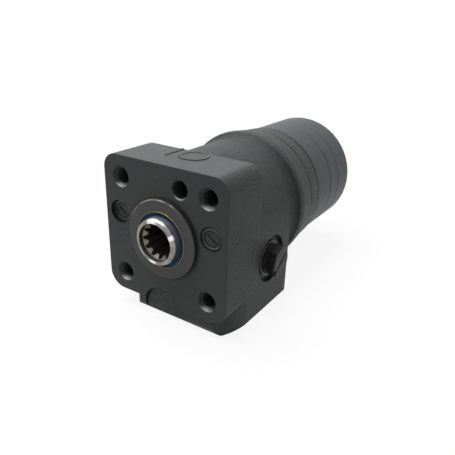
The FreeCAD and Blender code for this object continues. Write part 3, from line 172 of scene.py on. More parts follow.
class Graph:
    """The node tree of a material or of the world, emptied first."""

    def __init__(self, owner: Union[bpy.types.Material, bpy.types.World]) -> None:
        """Takes over the owner's tree.

        Args:
            owner: The material or world.
        """
        owner.use_nodes = True
        self.owner = owner
        self.nodes = owner.node_tree.nodes
        self.links = owner.node_tree.links
        self.nodes.clear()

    @cached_property
    def place(self) -> Wire:
        """The place on the object."""
        return self.node("ShaderNodeTexCoord", {}, {}, "Object")

    def node(self, kind: str, settings: dict[str, object], inputs: Sockets,
             output: Optional[Union[int, str]] = 0) -> Optional[Wire]:
        """Adds one node. Every node of every tree is made here.

        Args:
            kind: Type of the node.
            settings: Values of the node's own properties, set before its sockets.
            inputs: What each input socket gets, by name or number: a Wire to link, or a plain value.
            output: Which output the result stands for, or None for a node that has none.

        Returns:
            The chosen output as a Wire.
        """
        made = self.nodes.new(kind)
        for key, value in settings.items():
            setattr(made, key, value)
        for key, value in inputs.items():
            if isinstance(value, Wire):
                self.links.new(value.socket, made.inputs[key])
            else:
                made.inputs[key].default_value = value
        return None if output is None else Wire(self, made.outputs[output])

    def axes(self) -> tuple[Wire, Wire, Wire]:
        """The place on the object as X to the right, Y along the spool axis and Z up."""
        return self.axis("X"), self.axis("Y"), self.axis("Z")

    def axis(self, name: str) -> Wire:
        """One coordinate, X, Y or Z, of the place on the object."""
        return self.node("ShaderNodeSeparateXYZ", {}, {0: self.place}, name)

    def distance(self, first: Link, second: Link) -> Wire:
        """Length of the step whose two parts are given."""
        return (first * first + second * second).root()

    def seen(self) -> Wire:
        """Tells the rays that show a surface, straight, in a mirror or through glass.

        Returns:
            1 for those rays and 0 for the ones that only light it.
        """
        camera, glossy, through = (self.node("ShaderNodeLightPath", {}, {}, f"Is {kind} Ray")
                                   for kind in ("Camera", "Glossy", "Transmission"))
        return camera.larger(glossy).larger(through)

    def scaled_place(self, scale: Sequence[float]) -> Wire:
        """The place on the object with its axes stretched, for patterns that run one way."""
        return self.node("ShaderNodeVectorMath", {"operation": "MULTIPLY"}, {0: self.place, 1: tuple(scale)})

    def noise(self, size: float, detail: float = 2.0, stretch: Sequence[float] = (1.0, 1.0, 1.0)) -> Wire:
        """Noise from 0 to 1.

        Args:
            size: Width of its spots in metres.
            detail: How many finer layers it has.
            stretch: How much finer it is along X, Y and Z.

        Returns:
            The noise value.
        """
        place = self.scaled_place([share / size for share in stretch])
        return self.node("ShaderNodeTexNoise", {}, {"Vector": place, "Scale": 1.0, "Detail": detail})

    def mix(self, share: Link, first: Union[Wire, Colour], second: Union[Wire, Colour]) -> Wire:
        """Colour mix: first where share is 0, second where it is 1."""
        first, second = (end if isinstance(end, Wire) else (*end, 1.0) for end in (first, second))
        return self.node("ShaderNodeMix", {"data_type": "RGBA"}, {0: share, 6: first, 7: second}, 2)

    def bump(self, height: Wire, depth: float, strength: Link, normal: Wire) -> Wire:
        """Normal of a surface with this relief, whose height of 1 stands depth metres out."""
        inputs = {"Height": height, "Distance": depth, "Strength": strength, "Normal": normal}
        return self.node("ShaderNodeBump", {}, inputs)

    def finish(self, shader: Wire, end: str = "ShaderNodeOutputMaterial") -> None:
        """Links a shader to the tree's output."""
        self.node(end, {}, {"Surface": shader}, None)


@dataclass(frozen=True)
class Finish:
    """A finish: its colour, gloss and fine relief. Sizes are in metres."""

    name: str
    colour: Colour
    roughness: float
    metallic: float = 0.0
    grain: Grain = Grain.SMOOTH
    grain_size: float = 0.8 * MM
    grain_depth: float = 0.02 * MM
    colour_spread: float = 0.1
    roughness_spread: float = 0.06
    pit_shade: float = 0.0
    pit_heights: Range = (0.32, 0.56)
    specular: float = 0.3
    edge_radius: float = 0.25 * MM
    edge_samples: int = 4
    cloud_size: float = 12.0 * MM
    cloud_levels: Range = (0.3, 0.7)
    cast_shares: Range = (0.55, 0.45)
    cast_finer: float = 2.3
    ring_shares: Range = (0.8, 0.2)
    ring_stretch: Point = (0.02, 1.0, 0.02)
    line_stretch: Point = (1.0, 8.0, 1.0)

    def material(self) -> bpy.types.Material:
        """Builds the finish.

        Returns:
            The node material.
        """
        graph = Graph(bpy.data.materials.new(self.name))
        graph.finish(graph.node("ShaderNodeBsdfPrincipled", {}, self.sockets(graph)))
        return graph.owner

    def sockets(self, graph: Graph) -> Sockets:
        """Uneven colour and gloss, and the grain's relief.

        Args:
            graph: The material's tree.

        Returns:
            What each socket of the surface shader gets.
        """
        cloud = graph.noise(self.cloud_size, 3.0)
        grain = self.grain_height(graph)
        return {
            "Base Color": self.uneven_colour(graph, cloud, grain),
            "Roughness": self.roughness + (cloud - 0.5) * (2 * self.roughness_spread),
            "Metallic": self.metallic,
            "Specular IOR Level": self.specular,
            "Normal": graph.bump(grain, self.grain_depth, self.grain_strength(graph), self.rounded(graph))}

    def shaded(self, share: float) -> Colour:
        """The colour times a share, for its lighter and darker spots."""
        return tuple(min(part * share, 1.0) for part in self.colour)

    def uneven_colour(self, graph: Graph, cloud: Wire, grain: Wire) -> Wire:
        """The colour, darker and lighter in broad spots, and darker where the grain is low.

        Args:
            graph: The material's tree.
            cloud: Broad noise that places the spots.
            grain: Height of the grain.

        Returns:
            The colour.
        """
        spots = graph.mix(cloud.ramp(*self.cloud_levels), self.shaded(1 - self.colour_spread),
                          self.shaded(1 + self.colour_spread))
        pits = (1.0 - grain.ramp(*self.pit_heights)) * self.pit_shade
        return graph.mix(pits, spots, (0.0, 0.0, 0.0))

    def grain_strength(self, graph: Graph) -> Link:
        """How strongly the grain shows, from 0 to 1."""
        return 1.0

    def rounded(self, graph: Graph) -> Wire:
        """Normal that eases the piece's sharp edges."""
        return graph.node("ShaderNodeBevel", {"samples": self.edge_samples}, {"Radius": self.edge_radius})

    def grain_height(self, graph: Graph) -> Wire:
        """The grain: two sizes of spots, rings about the spool axis, fine cross lines or plain spots.

        Args:
            graph: The material's tree.

        Returns:
            Its height, from 0 to 1.
        """
        if self.grain is Grain.GROUND:
            return graph.noise(self.grain_size, 2.0, self.line_stretch)
        spots = graph.noise(self.grain_size, 2.0)
        if self.grain is Grain.CAST:
            coarse, fine = self.cast_shares
            return spots * coarse + graph.noise(self.grain_size / self.cast_finer, 2.0) * fine
        if self.grain is Grain.TURNED:
            turned, loose = self.ring_shares
            return graph.noise(self.grain_size, 3.0, self.ring_stretch) * turned + spots * loose
        return spots


@dataclass(frozen=True)
class HousingPaint(Finish):
    """Paint over rough casting, smooth where the faces under it are machined, and thin on turned rims, with
    painted light and shade in places.
    """

    # Machined faces, and how rough the casting between them gets along the spool axis: from, to and gain
    machined_colour: Colour = (0.034, 0.0358, 0.0365)
    machined_smoothing: float = 0.93
    front_face: Range = (0.3 * MM, 0.9 * MM)
    rear_face: float = 112.8 * MM
    port_face: float = -51.2 * MM
    spot_reach: float = 14.6 * MM
    spot_side: float = 37.5 * MM
    least_grain: float = 0.45
    grain_gains: tuple[Point, ...] = ((30 * MM, 60 * MM, 0.3), (66 * MM, 77 * MM, 0.25))
    # Collar around the spool end, and its edge: bare metal from wear, in patches kept to the upper left as a
    # painted highlight
    collar_front: float = -0.9 * MM
    collar_radius: float = 22.6 * MM
    collar_colour: Colour = (0.057, 0.056, 0.054)
    collar_edge: float = 0.5 * MM
    collar_edge_depth: float = 0.8 * MM
    edge_wear_and_highlight: Range = (0.03, 0.57)
    patch_size: float = 6.0 * MM
    patch_levels: Range = (0.4, 0.6)
    highlight_turn: float = 20.0 * MM
    # Bevelled mouths of the column holes and of the single hole: bare metal on their lower rims only, where
    # light falls from above, as wear and painted highlight
    wear_and_highlight_colour: Colour = (0.36, 0.35, 0.335)
    wear_and_highlight_metal: float = 0.6
    mouth_radius: float = 6.1 * MM
    mouth_depth: float = 2.9 * MM
    mouth_wear_and_highlight: float = 0.7
    hole_place: Range = (11.4 * MM, 30.1 * MM)
    hole_radius: float = 5.6 * MM
    hole_depth: float = 0.5 * MM
    rim_front: float = 0.03 * MM
    rim_levels: Range = (-0.95, -0.55)
    # Top face painted paler: painted light from above
    top_heights: Range = (40.9 * MM, 41.3 * MM)
    top_rear: float = 33.0 * MM
    top_light_share: float = 0.85
    top_light_colour: Colour = (0.054, 0.056, 0.057)
    # Pale specks
    speck_size: float = 1.3 * MM
    speck_levels: Range = (0.8, 0.86)
    speck_share: float = 0.7
    speck_colour: Colour = (0.16, 0.16, 0.15)
    # Painted shade: its colour, and its places on the turned faces
    joint_and_shade_colour: Colour = (0.002, 0.002, 0.002)
    flare: Range = (72.0 * MM, 79.5 * MM)
    flare_painted_shade: float = 0.45
    turned_line: float = 98.35 * MM
    turned_floor: float = 42.2 * MM
    line_fade: Range = (0.45 * MM, 0.8 * MM)
    rear_seam: Range = (110.6 * MM, 111.1 * MM)
    # Painted shadow of the collar in the corner around it, on its right side
    wall_radius: float = 22.45 * MM
    wall_front: float = 0.2 * MM
    wall_sides: Range = (-6 * MM, 12 * MM)
    corner_fade: Range = (22.8 * MM, 25.8 * MM)
    corner_painted_shadow: float = 0.5
    # Painted shade at the disc on top, in the half-round relief and in the front valves' recesses
    disc_place: Range = (3.6 * MM, 23.0 * MM)
    disc_edge: float = 8.8 * MM
    disc_reach: float = 0.7 * MM
    disc_rear: Range = (14 * MM, 25 * MM)
    disc_painted_shade: float = 0.5
    arc_place: Range = (-1.0 * MM, -46.0 * MM)
    arc_radius: float = 14.0 * MM
    arc_reach: float = 0.8 * MM
    arc_right: Range = (-9 * MM, -3 * MM)
    arc_painted_shade: float = 0.6
    recess_radius: float = 6.9 * MM
    recess_front: float = 0.05 * MM
    recess_painted_shade: float = 0.5

    def machined_share(self, graph: Graph) -> Wire:
        """The machined faces: the front, the rear, the port face and the spot face of the side bore.

        Args:
            graph: The material's tree.

        Returns:
            1 on them and 0 on the casting.
        """
        across, along, up = graph.axes()
        front = 1.0 - along.ramp(*self.front_face)
        distance = graph.distance(along - BORE_PLACE[0], up - BORE_PLACE[1])
        spot = (distance < self.spot_reach) * (across > self.spot_side)
        return front.larger(along > self.rear_face).larger(up < self.port_face).larger(spot)

    def grain_strength(self, graph: Graph) -> Link:
        """The casting's grain is all but gone on machined faces, and roughest on the neck and the shoulder.

        Args:
            graph: The material's tree.

        Returns:
            How strongly the grain shows, from 0 to 1.
        """
        along = graph.axis("Y")
        rough: Link = self.least_grain
        for start, end, gain in self.grain_gains:
            rough = along.ramp(start, end) * gain + rough
        return (1.0 - self.machined_share(graph) * self.machined_smoothing) * rough

    def lit_low_rim(self, graph: Graph, across: Wire, up: Wire, radius: float, depth: float) -> Wire:
        """The lower part of a hole's bevelled mouth: bare metal, painted only where light falls from above, as
        wear and painted highlight.

        Args:
            graph: The material's tree.
            across: Distance to the right of the hole's axis.
            up: Height above it.
            radius: Radius of the mouth.
            depth: Depth of its bevel.

        Returns:
            1 on the low rim, fading to 0 up its sides.
        """
        along = graph.axis("Y")
        low, high = self.rim_levels
        inside = (graph.distance(across, up) < radius) * (along < depth) * (along > self.rim_front)
        return inside * (1.0 - up.ramp(radius * low, radius * high))

    def wear_and_highlight_share(self, graph: Graph) -> Wire:
        """Bare metal from wear, with painted highlight: the collar's outer edge in patches, and the holes' low
        rims.

        Args:
            graph: The material's tree.

        Returns:
            1 on bare metal and 0 on whole paint.
        """
        across, along, up = graph.axes()
        patches = graph.noise(self.patch_size, 2.0).ramp(*self.patch_levels)
        # Painted highlight: the bare patches on the collar's edge fade out away from the upper left
        patches = patches * (up - across).ramp(0.0, self.highlight_turn)
        edge = ((graph.distance(across, up) > self.collar_radius - self.collar_edge)
                * (along < self.collar_front - self.collar_edge_depth))
        # Painted highlight: bare metal only on the lit lower rims of the hole mouths
        mouth = self.lit_low_rim(graph, across.size() - COLUMN_HOLE_PLACE, self.nearest_height(up),
                             self.mouth_radius, self.mouth_depth)
        hole = self.lit_low_rim(graph, across - self.hole_place[0], up - self.hole_place[1], self.hole_radius,
                            self.hole_depth)
        least, more = self.edge_wear_and_highlight
        return (edge * (least + more * patches)).larger(mouth * self.mouth_wear_and_highlight).larger(hole * self.mouth_wear_and_highlight)

    @staticmethod
    def nearest_height(up: Wire) -> Wire:
        """Height above the middle of the nearer row of column holes."""
        upper = up > 0.0
        return up - (upper * 2.0 - 1.0) * COLUMN_HOLE_PLACE

    def sockets(self, graph: Graph) -> Sockets:
        """Cast paint and machined paint, mixed by place, with the collar, specks, painted light and shade, and
        bare rims.

        Args:
            graph: The material's tree.

        Returns:
            What each socket of the surface shader gets.
        """
        made = super().sockets(graph)
        along = graph.axis("Y")
        # Painted light: the block's top face painted paler than the rest
        top = graph.axis("Z").ramp(*self.top_heights) * (along < self.top_rear) * self.top_light_share
        specks = graph.noise(self.speck_size, 0.0).ramp(*self.speck_levels) * self.speck_share
        # Painted shade in seams, corners and hollows, darkening the colour and the gloss
        painted_shade = self.painted_shade_share(graph)
        # Bare metal on rims, from wear and as painted highlight
        wear_and_highlight = self.wear_and_highlight_share(graph)
        paint = made["Base Color"]
        for share, colour in ((self.machined_share(graph), self.machined_colour), (top, self.top_light_colour),
                              (along < self.collar_front, self.collar_colour), (specks, self.speck_colour),
                              (painted_shade, self.joint_and_shade_colour), (wear_and_highlight, self.wear_and_highlight_colour)):
            paint = graph.mix(share, paint, colour)
        made["Base Color"] = paint
        made["Metallic"] = painted_shade.larger(wear_and_highlight * self.wear_and_highlight_metal)
        return made

    def painted_shade_share(self, graph: Graph) -> Wire:
        """Painted shade in seams, corners and hollows. It takes the paint's gloss too.

        Args:
            graph: The material's tree.

        Returns:
            How dark the paint is, from 0 to 1.
        """
        return reduce(Wire.larger, (*self.turned_painted_shade(graph), *self.cast_painted_shade(graph)))

    def turned_painted_shade(self, graph: Graph) -> tuple[Wire, ...]:
        """Painted shade in the turned line, the rear seam and the flare, and painted shadow in the corner around
        the collar.

        Args:
            graph: The material's tree.

        Returns:
            How dark each of them is.
        """
        across, along, up = graph.axes()
        distance = graph.distance(across, up)
        # Painted shade on the concave flare before the shoulder, which faces away from the light
        flare = along.ramp(*self.flare) * (along < self.flare[1])
        # Painted shade: the shadow gap of the turned line, and the rear seam's joint with its shade
        line = (1.0 - (along - self.turned_line).size().ramp(*self.line_fade)) * (distance < self.turned_floor)
        # Painted shadow cast by the collar on the face to its right
        wall = (distance > self.wall_radius) * (along < self.wall_front) * across.ramp(*self.wall_sides)
        corner = wall * (1.0 - distance.ramp(*self.corner_fade))
        return line, along.ramp(*self.rear_seam), flare * self.flare_painted_shade, corner * self.corner_painted_shadow

    def cast_painted_shade(self, graph: Graph) -> tuple[Wire, ...]:
        """Painted shade at the front of the disc, at the left of the half-round relief and in the valves'
        recesses.

        Args:
            graph: The material's tree.

        Returns:
            How dark each of them is.
        """
        across, along, up = graph.axes()
        # Painted shade on the shadow side at the front of the disc
        disc = graph.distance(across - self.disc_place[0], along - self.disc_place[1])
        disc_front = self.near(disc, self.disc_edge, self.disc_reach) * (1.0 - along.ramp(*self.disc_rear))
        # Painted shade along the upper left edge of the half-round relief
        arc = graph.distance(across - self.arc_place[0], up - self.arc_place[1])
        arc_left = self.near(arc, self.arc_radius, self.arc_reach) * (1.0 - across.ramp(*self.arc_right))
        # Painted shade in the front valves' recesses
        valve = graph.distance(across.size() - VALVE_PLACE[0], up - VALVE_PLACE[1])
        recess = (valve < self.recess_radius) * (along > self.recess_front)
        return (disc_front * (up > self.top_heights[0]) * self.disc_painted_shade, arc_left * self.arc_painted_shade,
                recess * self.recess_painted_shade)

    @staticmethod
    def near(distance: Wire, radius: float, reach: float) -> Wire:
        """1 on a circle of this radius, and 0 at this reach from it."""
        return 1.0 - (distance - radius).size().ramp(reach * 0.4, reach)


@dataclass(frozen=True)
class StackPaint(Finish):
    """Paint over turned rings, with dark seams where the rings meet: dark joints with painted shade of the gaps.
    Each seam is a place along the spool axis, half its width and its darkness."""

    seams: tuple[Point, ...] = ((113.0 * MM, 0.4 * MM, 1.0), (134.8 * MM, 0.45 * MM, 0.22),
                                (148.6 * MM, 0.45 * MM, 0.22))
    joint_and_shade_colour: Colour = (0.002, 0.002, 0.002)

    def sockets(self, graph: Graph) -> Sockets:
        """The paint, and the seams in it.

        Args:
            graph: The material's tree.

        Returns:
            What each socket of the surface shader gets.
        """
        made = super().sockets(graph)
        along = graph.axis("Y")
        for place, half_width, darkness in self.seams:
            # Dark joint with painted shade of the gap between the rings
            share = (1.0 - (along - place).size().ramp(half_width * 0.5, half_width)) * darkness
            made["Base Color"] = graph.mix(share, made["Base Color"], self.joint_and_shade_colour)
            made["Metallic"] = share + made["Metallic"]
        return made


@dataclass(frozen=True)
class SpoolSteel(Finish):
    """Turned steel: grey outside, with streaks along it and patches of painted highlight, and dull and oily
    inside the spline. Each patch is an angle in degrees from the right over the top, and half its width."""

    bore_radius: float = 10.9 * MM
    bore_colour: Colour = (0.2, 0.19, 0.17)
    dull_gain: float = 0.15
    streak_size: float = 5.0 * MM
    streak_stretch: Point = (1.0, 0.1, 1.0)
    streak_levels: Range = (0.35, 0.65)
    streak_shade: float = 0.6
    painted_highlight_colour: Colour = (0.86, 0.85, 0.83)
    # Painted highlights: angles where the nose shows bright reflections, each with its half width
    patches: tuple[Range, ...] = ((98.0, 19.0), (27.0, 8.0), (262.0, 15.0))
    highlight_core: float = 0.35
    barrel: Range = (-5.3 * MM, -4.7 * MM)
    barrel_colour: Colour = (0.27, 0.29, 0.31)

    def sockets(self, graph: Graph) -> Sockets:
        """Grey steel, painted highlights and dull steel, mixed by angle about the spool axis and distance from
        it.

        Args:
            graph: The material's tree.

        Returns:
            What each socket of the surface shader gets.
        """
        made = super().sockets(graph)
        across, up = graph.axis("X"), graph.axis("Z")
        distance = graph.distance(across, up)
        streaks = graph.noise(self.streak_size, 1.0, self.streak_stretch).ramp(*self.streak_levels)
        # Painted highlight patches at set angles about the spool axis
        bright = reduce(Wire.larger, (self.patch(across / distance, up / distance, *patch)
                                      for patch in self.patches))
        barrel = graph.axis("Y").ramp(*self.barrel)
        inside = distance < self.bore_radius
        steel = graph.mix(streaks, self.shaded(self.streak_shade), made["Base Color"])
        for share, colour in ((bright, self.painted_highlight_colour), (barrel, self.barrel_colour),
                              (inside, self.bore_colour)):
            steel = graph.mix(share, steel, colour)
        made["Base Color"] = steel
        made["Roughness"] = made["Roughness"] + inside.larger(barrel) * self.dull_gain
        return made

    def patch(self, across: Wire, up: Wire, angle: float, width: float) -> Wire:
        """One painted highlight patch: the direction's share along the patch's own direction, between the
        cosines of two angles.

        Args:
            across: Part of the direction to the right. The direction is one long.
            up: Its part upward.
            angle: Middle of the patch in degrees.
            width: Half its width in degrees.

        Returns:
            1 in the middle, fading to 0 at the sides.
        """
        turn, reach = math.radians(angle), math.radians(width)
        along_patch = across * math.cos(turn) + up * math.sin(turn)
        return along_patch.ramp(math.cos(reach), math.cos(reach * self.highlight_core))


@dataclass(frozen=True)
class ValvePaint(Finish):
    """Paint on the two front valves, with a painted highlight on the rings of their sleeves, painted shade in
    the joint around each screw, and a little painted shade on the screws."""

    joint_radius: float = 4.5 * MM
    joint_fade: Range = (0.2 * MM, 0.5 * MM)
    joint_painted_shade: float = 0.85
    joint_shade_colour: Colour = (0.003, 0.003, 0.003)
    screw_painted_shade: float = 0.2
    ring_radius: float = 5.8 * MM
    ring_highlight_heights: Range = (1.0 * MM, 4.5 * MM)
    ring_highlight_colour: Colour = (0.088, 0.088, 0.086)

    def sockets(self, graph: Graph) -> Sockets:
        """The paint, mixed by distance from the nearer valve's axis.

        Args:
            graph: The material's tree.

        Returns:
            What each socket of the surface shader gets.
        """
        made = super().sockets(graph)
        up = graph.axis("Z") - VALVE_PLACE[1]
        distance = graph.distance(graph.axis("X").size() - VALVE_PLACE[0], up)
        # Painted highlight on the top and bottom of each sleeve's ring
        ring = ((distance > self.joint_radius) * (distance < self.ring_radius)
                * up.size().ramp(*self.ring_highlight_heights))
        # Painted shade in the gap around each screw, and a little on the screws
        joint = 1.0 - (distance - self.joint_radius).size().ramp(*self.joint_fade)
        dark = (joint * self.joint_painted_shade).larger((distance < self.joint_radius) * self.screw_painted_shade)
        highlighted = graph.mix(ring, made["Base Color"], self.ring_highlight_colour)
        made["Base Color"] = graph.mix(dark, highlighted, self.joint_shade_colour)
        return made


@dataclass(frozen=True)
class PlugSteel(Finish):
    """Blackened steel, greyer on the outer face of the plug and on the rim of its washer."""

    face_place: float = 47.3 * MM
    face_colour: Colour = (0.026, 0.026, 0.0255)
    scuff_size: float = 2.5 * MM
    scuff_levels: Range = (0.3, 0.75)
    scuff_shares: Range = (0.7, 0.3)
    washer_place: float = 39.6 * MM
    flange_radius: float = 9.5 * MM
    washer_colour: Colour = (0.075, 0.074, 0.07)

    def sockets(self, graph: Graph) -> Sockets:
        """Black sides, a lighter face with a little scuffing, and a lighter washer.

        Args:
            graph: The material's tree.

        Returns:
            What each socket of the surface shader gets.
        """
        made = super().sockets(graph)
        across = graph.axis("X")
        scuffs = graph.noise(self.scuff_size, 4.0).ramp(*self.scuff_levels)
        face = (across > self.face_place) * (self.scuff_shares[0] + self.scuff_shares[1] * scuffs)
        distance = graph.distance(graph.axis("Y") - BORE_PLACE[0], graph.axis("Z") - BORE_PLACE[1])
        rim = (across > self.washer_place) * (distance > self.flange_radius)
        plain = graph.mix(rim, made["Base Color"], self.washer_colour)
        made["Base Color"] = graph.mix(face, plain, self.face_colour)
        return made


PAINT: Colour = (0.037, 0.0387, 0.0395)

FINISHES: dict[str, Finish] = {finish.name: finish for finish in (
    HousingPaint("cast_paint", PAINT, 0.52, grain=Grain.CAST, grain_size=1.05 * MM, grain_depth=0.6 * MM,
                 edge_radius=0.8 * MM, pit_shade=0.65, specular=0.2),
    StackPaint("turned_paint", (0.038, 0.041, 0.046), 0.46, grain=Grain.TURNED, grain_size=0.5 * MM,
               grain_depth=0.03 * MM, specular=0.25, pit_shade=0.1),
    Finish("screw_paint", PAINT, 0.45, grain=Grain.CAST, grain_size=0.7 * MM, grain_depth=0.03 * MM,
           pit_shade=0.2),
    ValvePaint("front_plug_paint", (0.034, 0.036, 0.037), 0.48, grain=Grain.CAST, grain_size=0.6 * MM,
               grain_depth=0.03 * MM, edge_radius=0.15 * MM, pit_shade=0.2, specular=0.22),
    Finish("yellow_plated", (0.31, 0.26, 0.09), 0.4, 1.0, Grain.GROUND, 0.5 * MM, 0.005 * MM),
    Finish("blue_seal", (0.006, 0.045, 0.11), 0.5, 0.0, Grain.CAST, 0.5 * MM, 0.01 * MM, specular=0.2),
    Finish("black_rubber", (0.018, 0.018, 0.018), 0.6, 0.0, Grain.CAST, 0.5 * MM, 0.01 * MM),
    SpoolSteel("bright_steel", (0.36, 0.355, 0.34), 0.34, 1.0, Grain.TURNED, 0.25 * MM, 0.012 * MM,
               edge_radius=0.12 * MM, pit_shade=0.12),
    Finish("hardened_steel", (0.5, 0.5, 0.5), 0.28, 1.0, Grain.GROUND, 0.3 * MM, 0.004 * MM,
           edge_radius=0.12 * MM),
    PlugSteel("black_steel", (0.010, 0.0105, 0.010), 0.45, 0.0, Grain.CAST, 0.6 * MM, 0.012 * MM,
              specular=0.18))}


class Wardrobe:
    """The finishes as materials, each made once."""

    def __init__(self, finishes: dict[str, Finish]) -> None:
        """Builds a material for every finish."""
        self.materials = {slot: finish.material() for slot, finish in finishes.items()}

    def dress(self, piece: bpy.types.Object, slot: str) -> None:
        """Gives a piece the material of a slot, on all of its faces."""
        piece.data.materials.clear()
        piece.data.materials.append(self.materials[slot])

    def dress_nodes(self, record: dict, nodes: dict[str, bpy.types.Object]) -> None:
        """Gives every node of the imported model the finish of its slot.

        Args:
            record: The part's record.
            nodes: The nodes' objects by name.
        """
        for entry in record["subparts"]:
            self.dress(nodes[entry["node"]], entry["material_slot"])
            log.info("node %s in %s", entry["node"], entry["material_slot"])


@dataclass(frozen=True)
class Axis:
    """A straight axis in space, with the direction from which its angles are counted."""

    origin: Point
    along: Point = (0.0, 1.0, 0.0)
    side: Point = (1.0, 0.0, 0.0)

    def place(self, radius: Array, angle: Array, distance: Array) -> Array:
        """Points in space: origin plus distance times axis, plus radius times the turned side direction.

        Args:
            radius: Distances from the axis.
            angle: Angles about it, from the side direction.
            distance: Distances along it.

        Returns:
            The points, with X, Y and Z in the last dimension.
        """
        along, side = np.array(self.along), np.array(self.side)
        third = np.cross(side, along)
        radius, angle, distance = np.broadcast_arrays(radius, angle, distance)
        return (np.array(self.origin) + distance[..., None] * along
                + (radius * np.cos(angle))[..., None] * side + (radius * np.sin(angle))[..., None] * third)


class Maker:
    """Turns grids of points into finished mesh pieces that ride on a body."""

    def __init__(self, wardrobe: Wardrobe) -> None:
        """Keeps the materials for the pieces."""
        self.wardrobe = wardrobe

    @staticmethod
    def grid_faces(rows: int, columns: int, closed: bool) -> Array:
        """Corner numbers of the four-sided faces between the points of a grid.

        Args:
            rows: Points along the profile.
            columns: Points around.
            closed: Whether the last column joins the first.

        Returns:
            One row of four corner numbers for each face.
        """
        row = np.arange(rows - 1)[:, None]
        column = np.arange(columns if closed else columns - 1)[None, :]
        after = (column + 1) % columns
        corners = np.stack([row * columns + column, row * columns + after,
                            (row + 1) * columns + after, (row + 1) * columns + column], axis=-1)
        return corners.reshape(-1, 4)

    def piece(self, name: str, grids: Iterable[tuple[Array, bool]], slot: str, body: str,
              replaced: Sequence[str] = (), pressed_by: Optional[tuple[str, Point, Point]] = None
              ) -> bpy.types.Object:
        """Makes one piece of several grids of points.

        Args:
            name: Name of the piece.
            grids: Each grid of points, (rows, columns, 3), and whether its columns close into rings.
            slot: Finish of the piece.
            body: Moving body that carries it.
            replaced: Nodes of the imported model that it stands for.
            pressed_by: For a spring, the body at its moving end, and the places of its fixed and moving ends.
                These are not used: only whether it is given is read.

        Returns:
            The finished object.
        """
        points, faces, start = [], [], 0
        for grid, closed in grids:
            rows, columns = grid.shape[:2]
            points.append(grid.reshape(-1, 3))
            faces.append(self.grid_faces(rows, columns, closed) + start)
            start += rows * columns
        mesh = bpy.data.meshes.new(name)
        mesh.from_pydata(np.concatenate(points).tolist(), [], np.concatenate(faces).tolist())
        mesh.polygons.foreach_set("use_smooth", np.ones(len(mesh.polygons), dtype=bool))
        mesh.update()
        made = bpy.data.objects.new(name, mesh)
        bpy.context.scene.collection.objects.link(made)
        self.wardrobe.dress(made, slot)
        if pressed_by:
            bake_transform(made)
        else:
            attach(made, body)
        if replaced:
            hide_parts(*replaced)
        log.info("piece %s with %d faces on %s", name, len(mesh.polygons), body)
        return made

    @staticmethod
    def turned(axis: Axis, profile: Sequence[Range], segments: int = 96) -> tuple[Array, bool]:
        """Surface of revolution: radius and distance from the profile, angle from the columns.

        Args:
            axis: What it turns about.
            profile: Radius and distance along the axis of each profile point, in metres.
            segments: Columns around.

        Returns:
            The grid of points, closed around.
        """
        outline = np.array(profile)
        angle = np.linspace(0, 2 * math.pi, segments, endpoint=False)[None, :]
        return axis.place(outline[:, 0:1], angle, outline[:, 1:2]), True

    @staticmethod
    def rounded(corners: Sequence[Point], steps: int = 5) -> list[Range]:
        """An outline whose corners are rounded: each corner is replaced by points on a parabola between the
        points one radius before and after it.

        Args:
            corners: First size, second size and rounding of each corner; ends keep their place.
            steps: Points on each rounded corner.

        Returns:
            The outline's points.
        """
        places = np.array([corner[:2] for corner in corners])
        outline = [tuple(places[0])]
        share = np.linspace(0, 1, steps)[:, None]
        for before, here, after, corner in zip(places[:-2], places[1:-1], places[2:], corners[1:-1]):
            reach = corner[2]
            if reach == 0:
                outline.append(tuple(here))
                continue
            start = here + (before - here) * min(reach / np.linalg.norm(before - here), 0.5)
            end = here + (after - here) * min(reach / np.linalg.norm(after - here), 0.5)
            curve = (1 - share) ** 2 * start + 2 * share * (1 - share) * here + share ** 2 * end
            outline.extend(map(tuple, curve))
        outline.append(tuple(places[-1]))
        return outline


@dataclass
class SealPack:
    """The seals around the spool end: the yellow rim, the blue wiper and its lip."""

    case_radius: float = 16.1 * MM
    case_wall: float = 0.36 * MM
    case_front: float = -2.5 * MM
    floor: float = 4.5 * MM
    lip_radius: float = 13.45 * MM
    recess: float = 1.1 * MM
    axis: Axis = field(default_factory=lambda: Axis((0.0, 0.0, 0.0)))

    def build(self, maker: Maker) -> None:
        """Makes the rim with its rolled edge, and the wiper with its raised lip and hollow.

        Args:
            maker: Makes the pieces.
        """
        inner = self.case_radius - self.case_wall
        roll = self.case_wall / 2
        rim = Maker.rounded([(inner - 0.6 * MM, self.floor, 0), (inner - 0.6 * MM, self.floor - 0.5 * MM, 0),
                             (inner, self.floor - 0.5 * MM, 0.2 * MM), (inner, self.case_front, roll),
                             (self.case_radius, self.case_front, roll), (self.case_radius, self.floor, 0),
                             (inner - 0.6 * MM, self.floor, 0)])
        maker.piece("rolled_seal_rim", [Maker.turned(self.axis, rim, 128)], "yellow_plated", HOUSING_BODY,
                    ("seal_case",))
        front = self.case_front + self.recess
        lip = self.lip_radius
        wiper = Maker.rounded([
            (lip + 0.3 * MM, front + 1.6 * MM, 0), (lip, front + 0.6 * MM, 0.2 * MM),
            (lip + 0.15 * MM, front - 0.75 * MM, 0.15 * MM), (lip + 0.5 * MM, front - 0.7 * MM, 0.3 * MM),
            (lip + 0.95 * MM, front + 0.35 * MM, 0.35 * MM), (inner - 0.35 * MM, front + 0.15 * MM, 0.25 * MM),
            (inner, front + 0.3 * MM, 0.1 * MM), (inner, self.floor - 0.5 * MM, 0),
            (lip + 0.9 * MM, self.floor - 0.5 * MM, 0), (lip + 0.9 * MM, front + 1.9 * MM, 0),
            (lip + 0.3 * MM, front + 1.6 * MM, 0)])
        maker.piece("lipped_wiper", [Maker.turned(self.axis, wiper, 128)], "blue_seal", HOUSING_BODY,
                    ("dust_seal",))


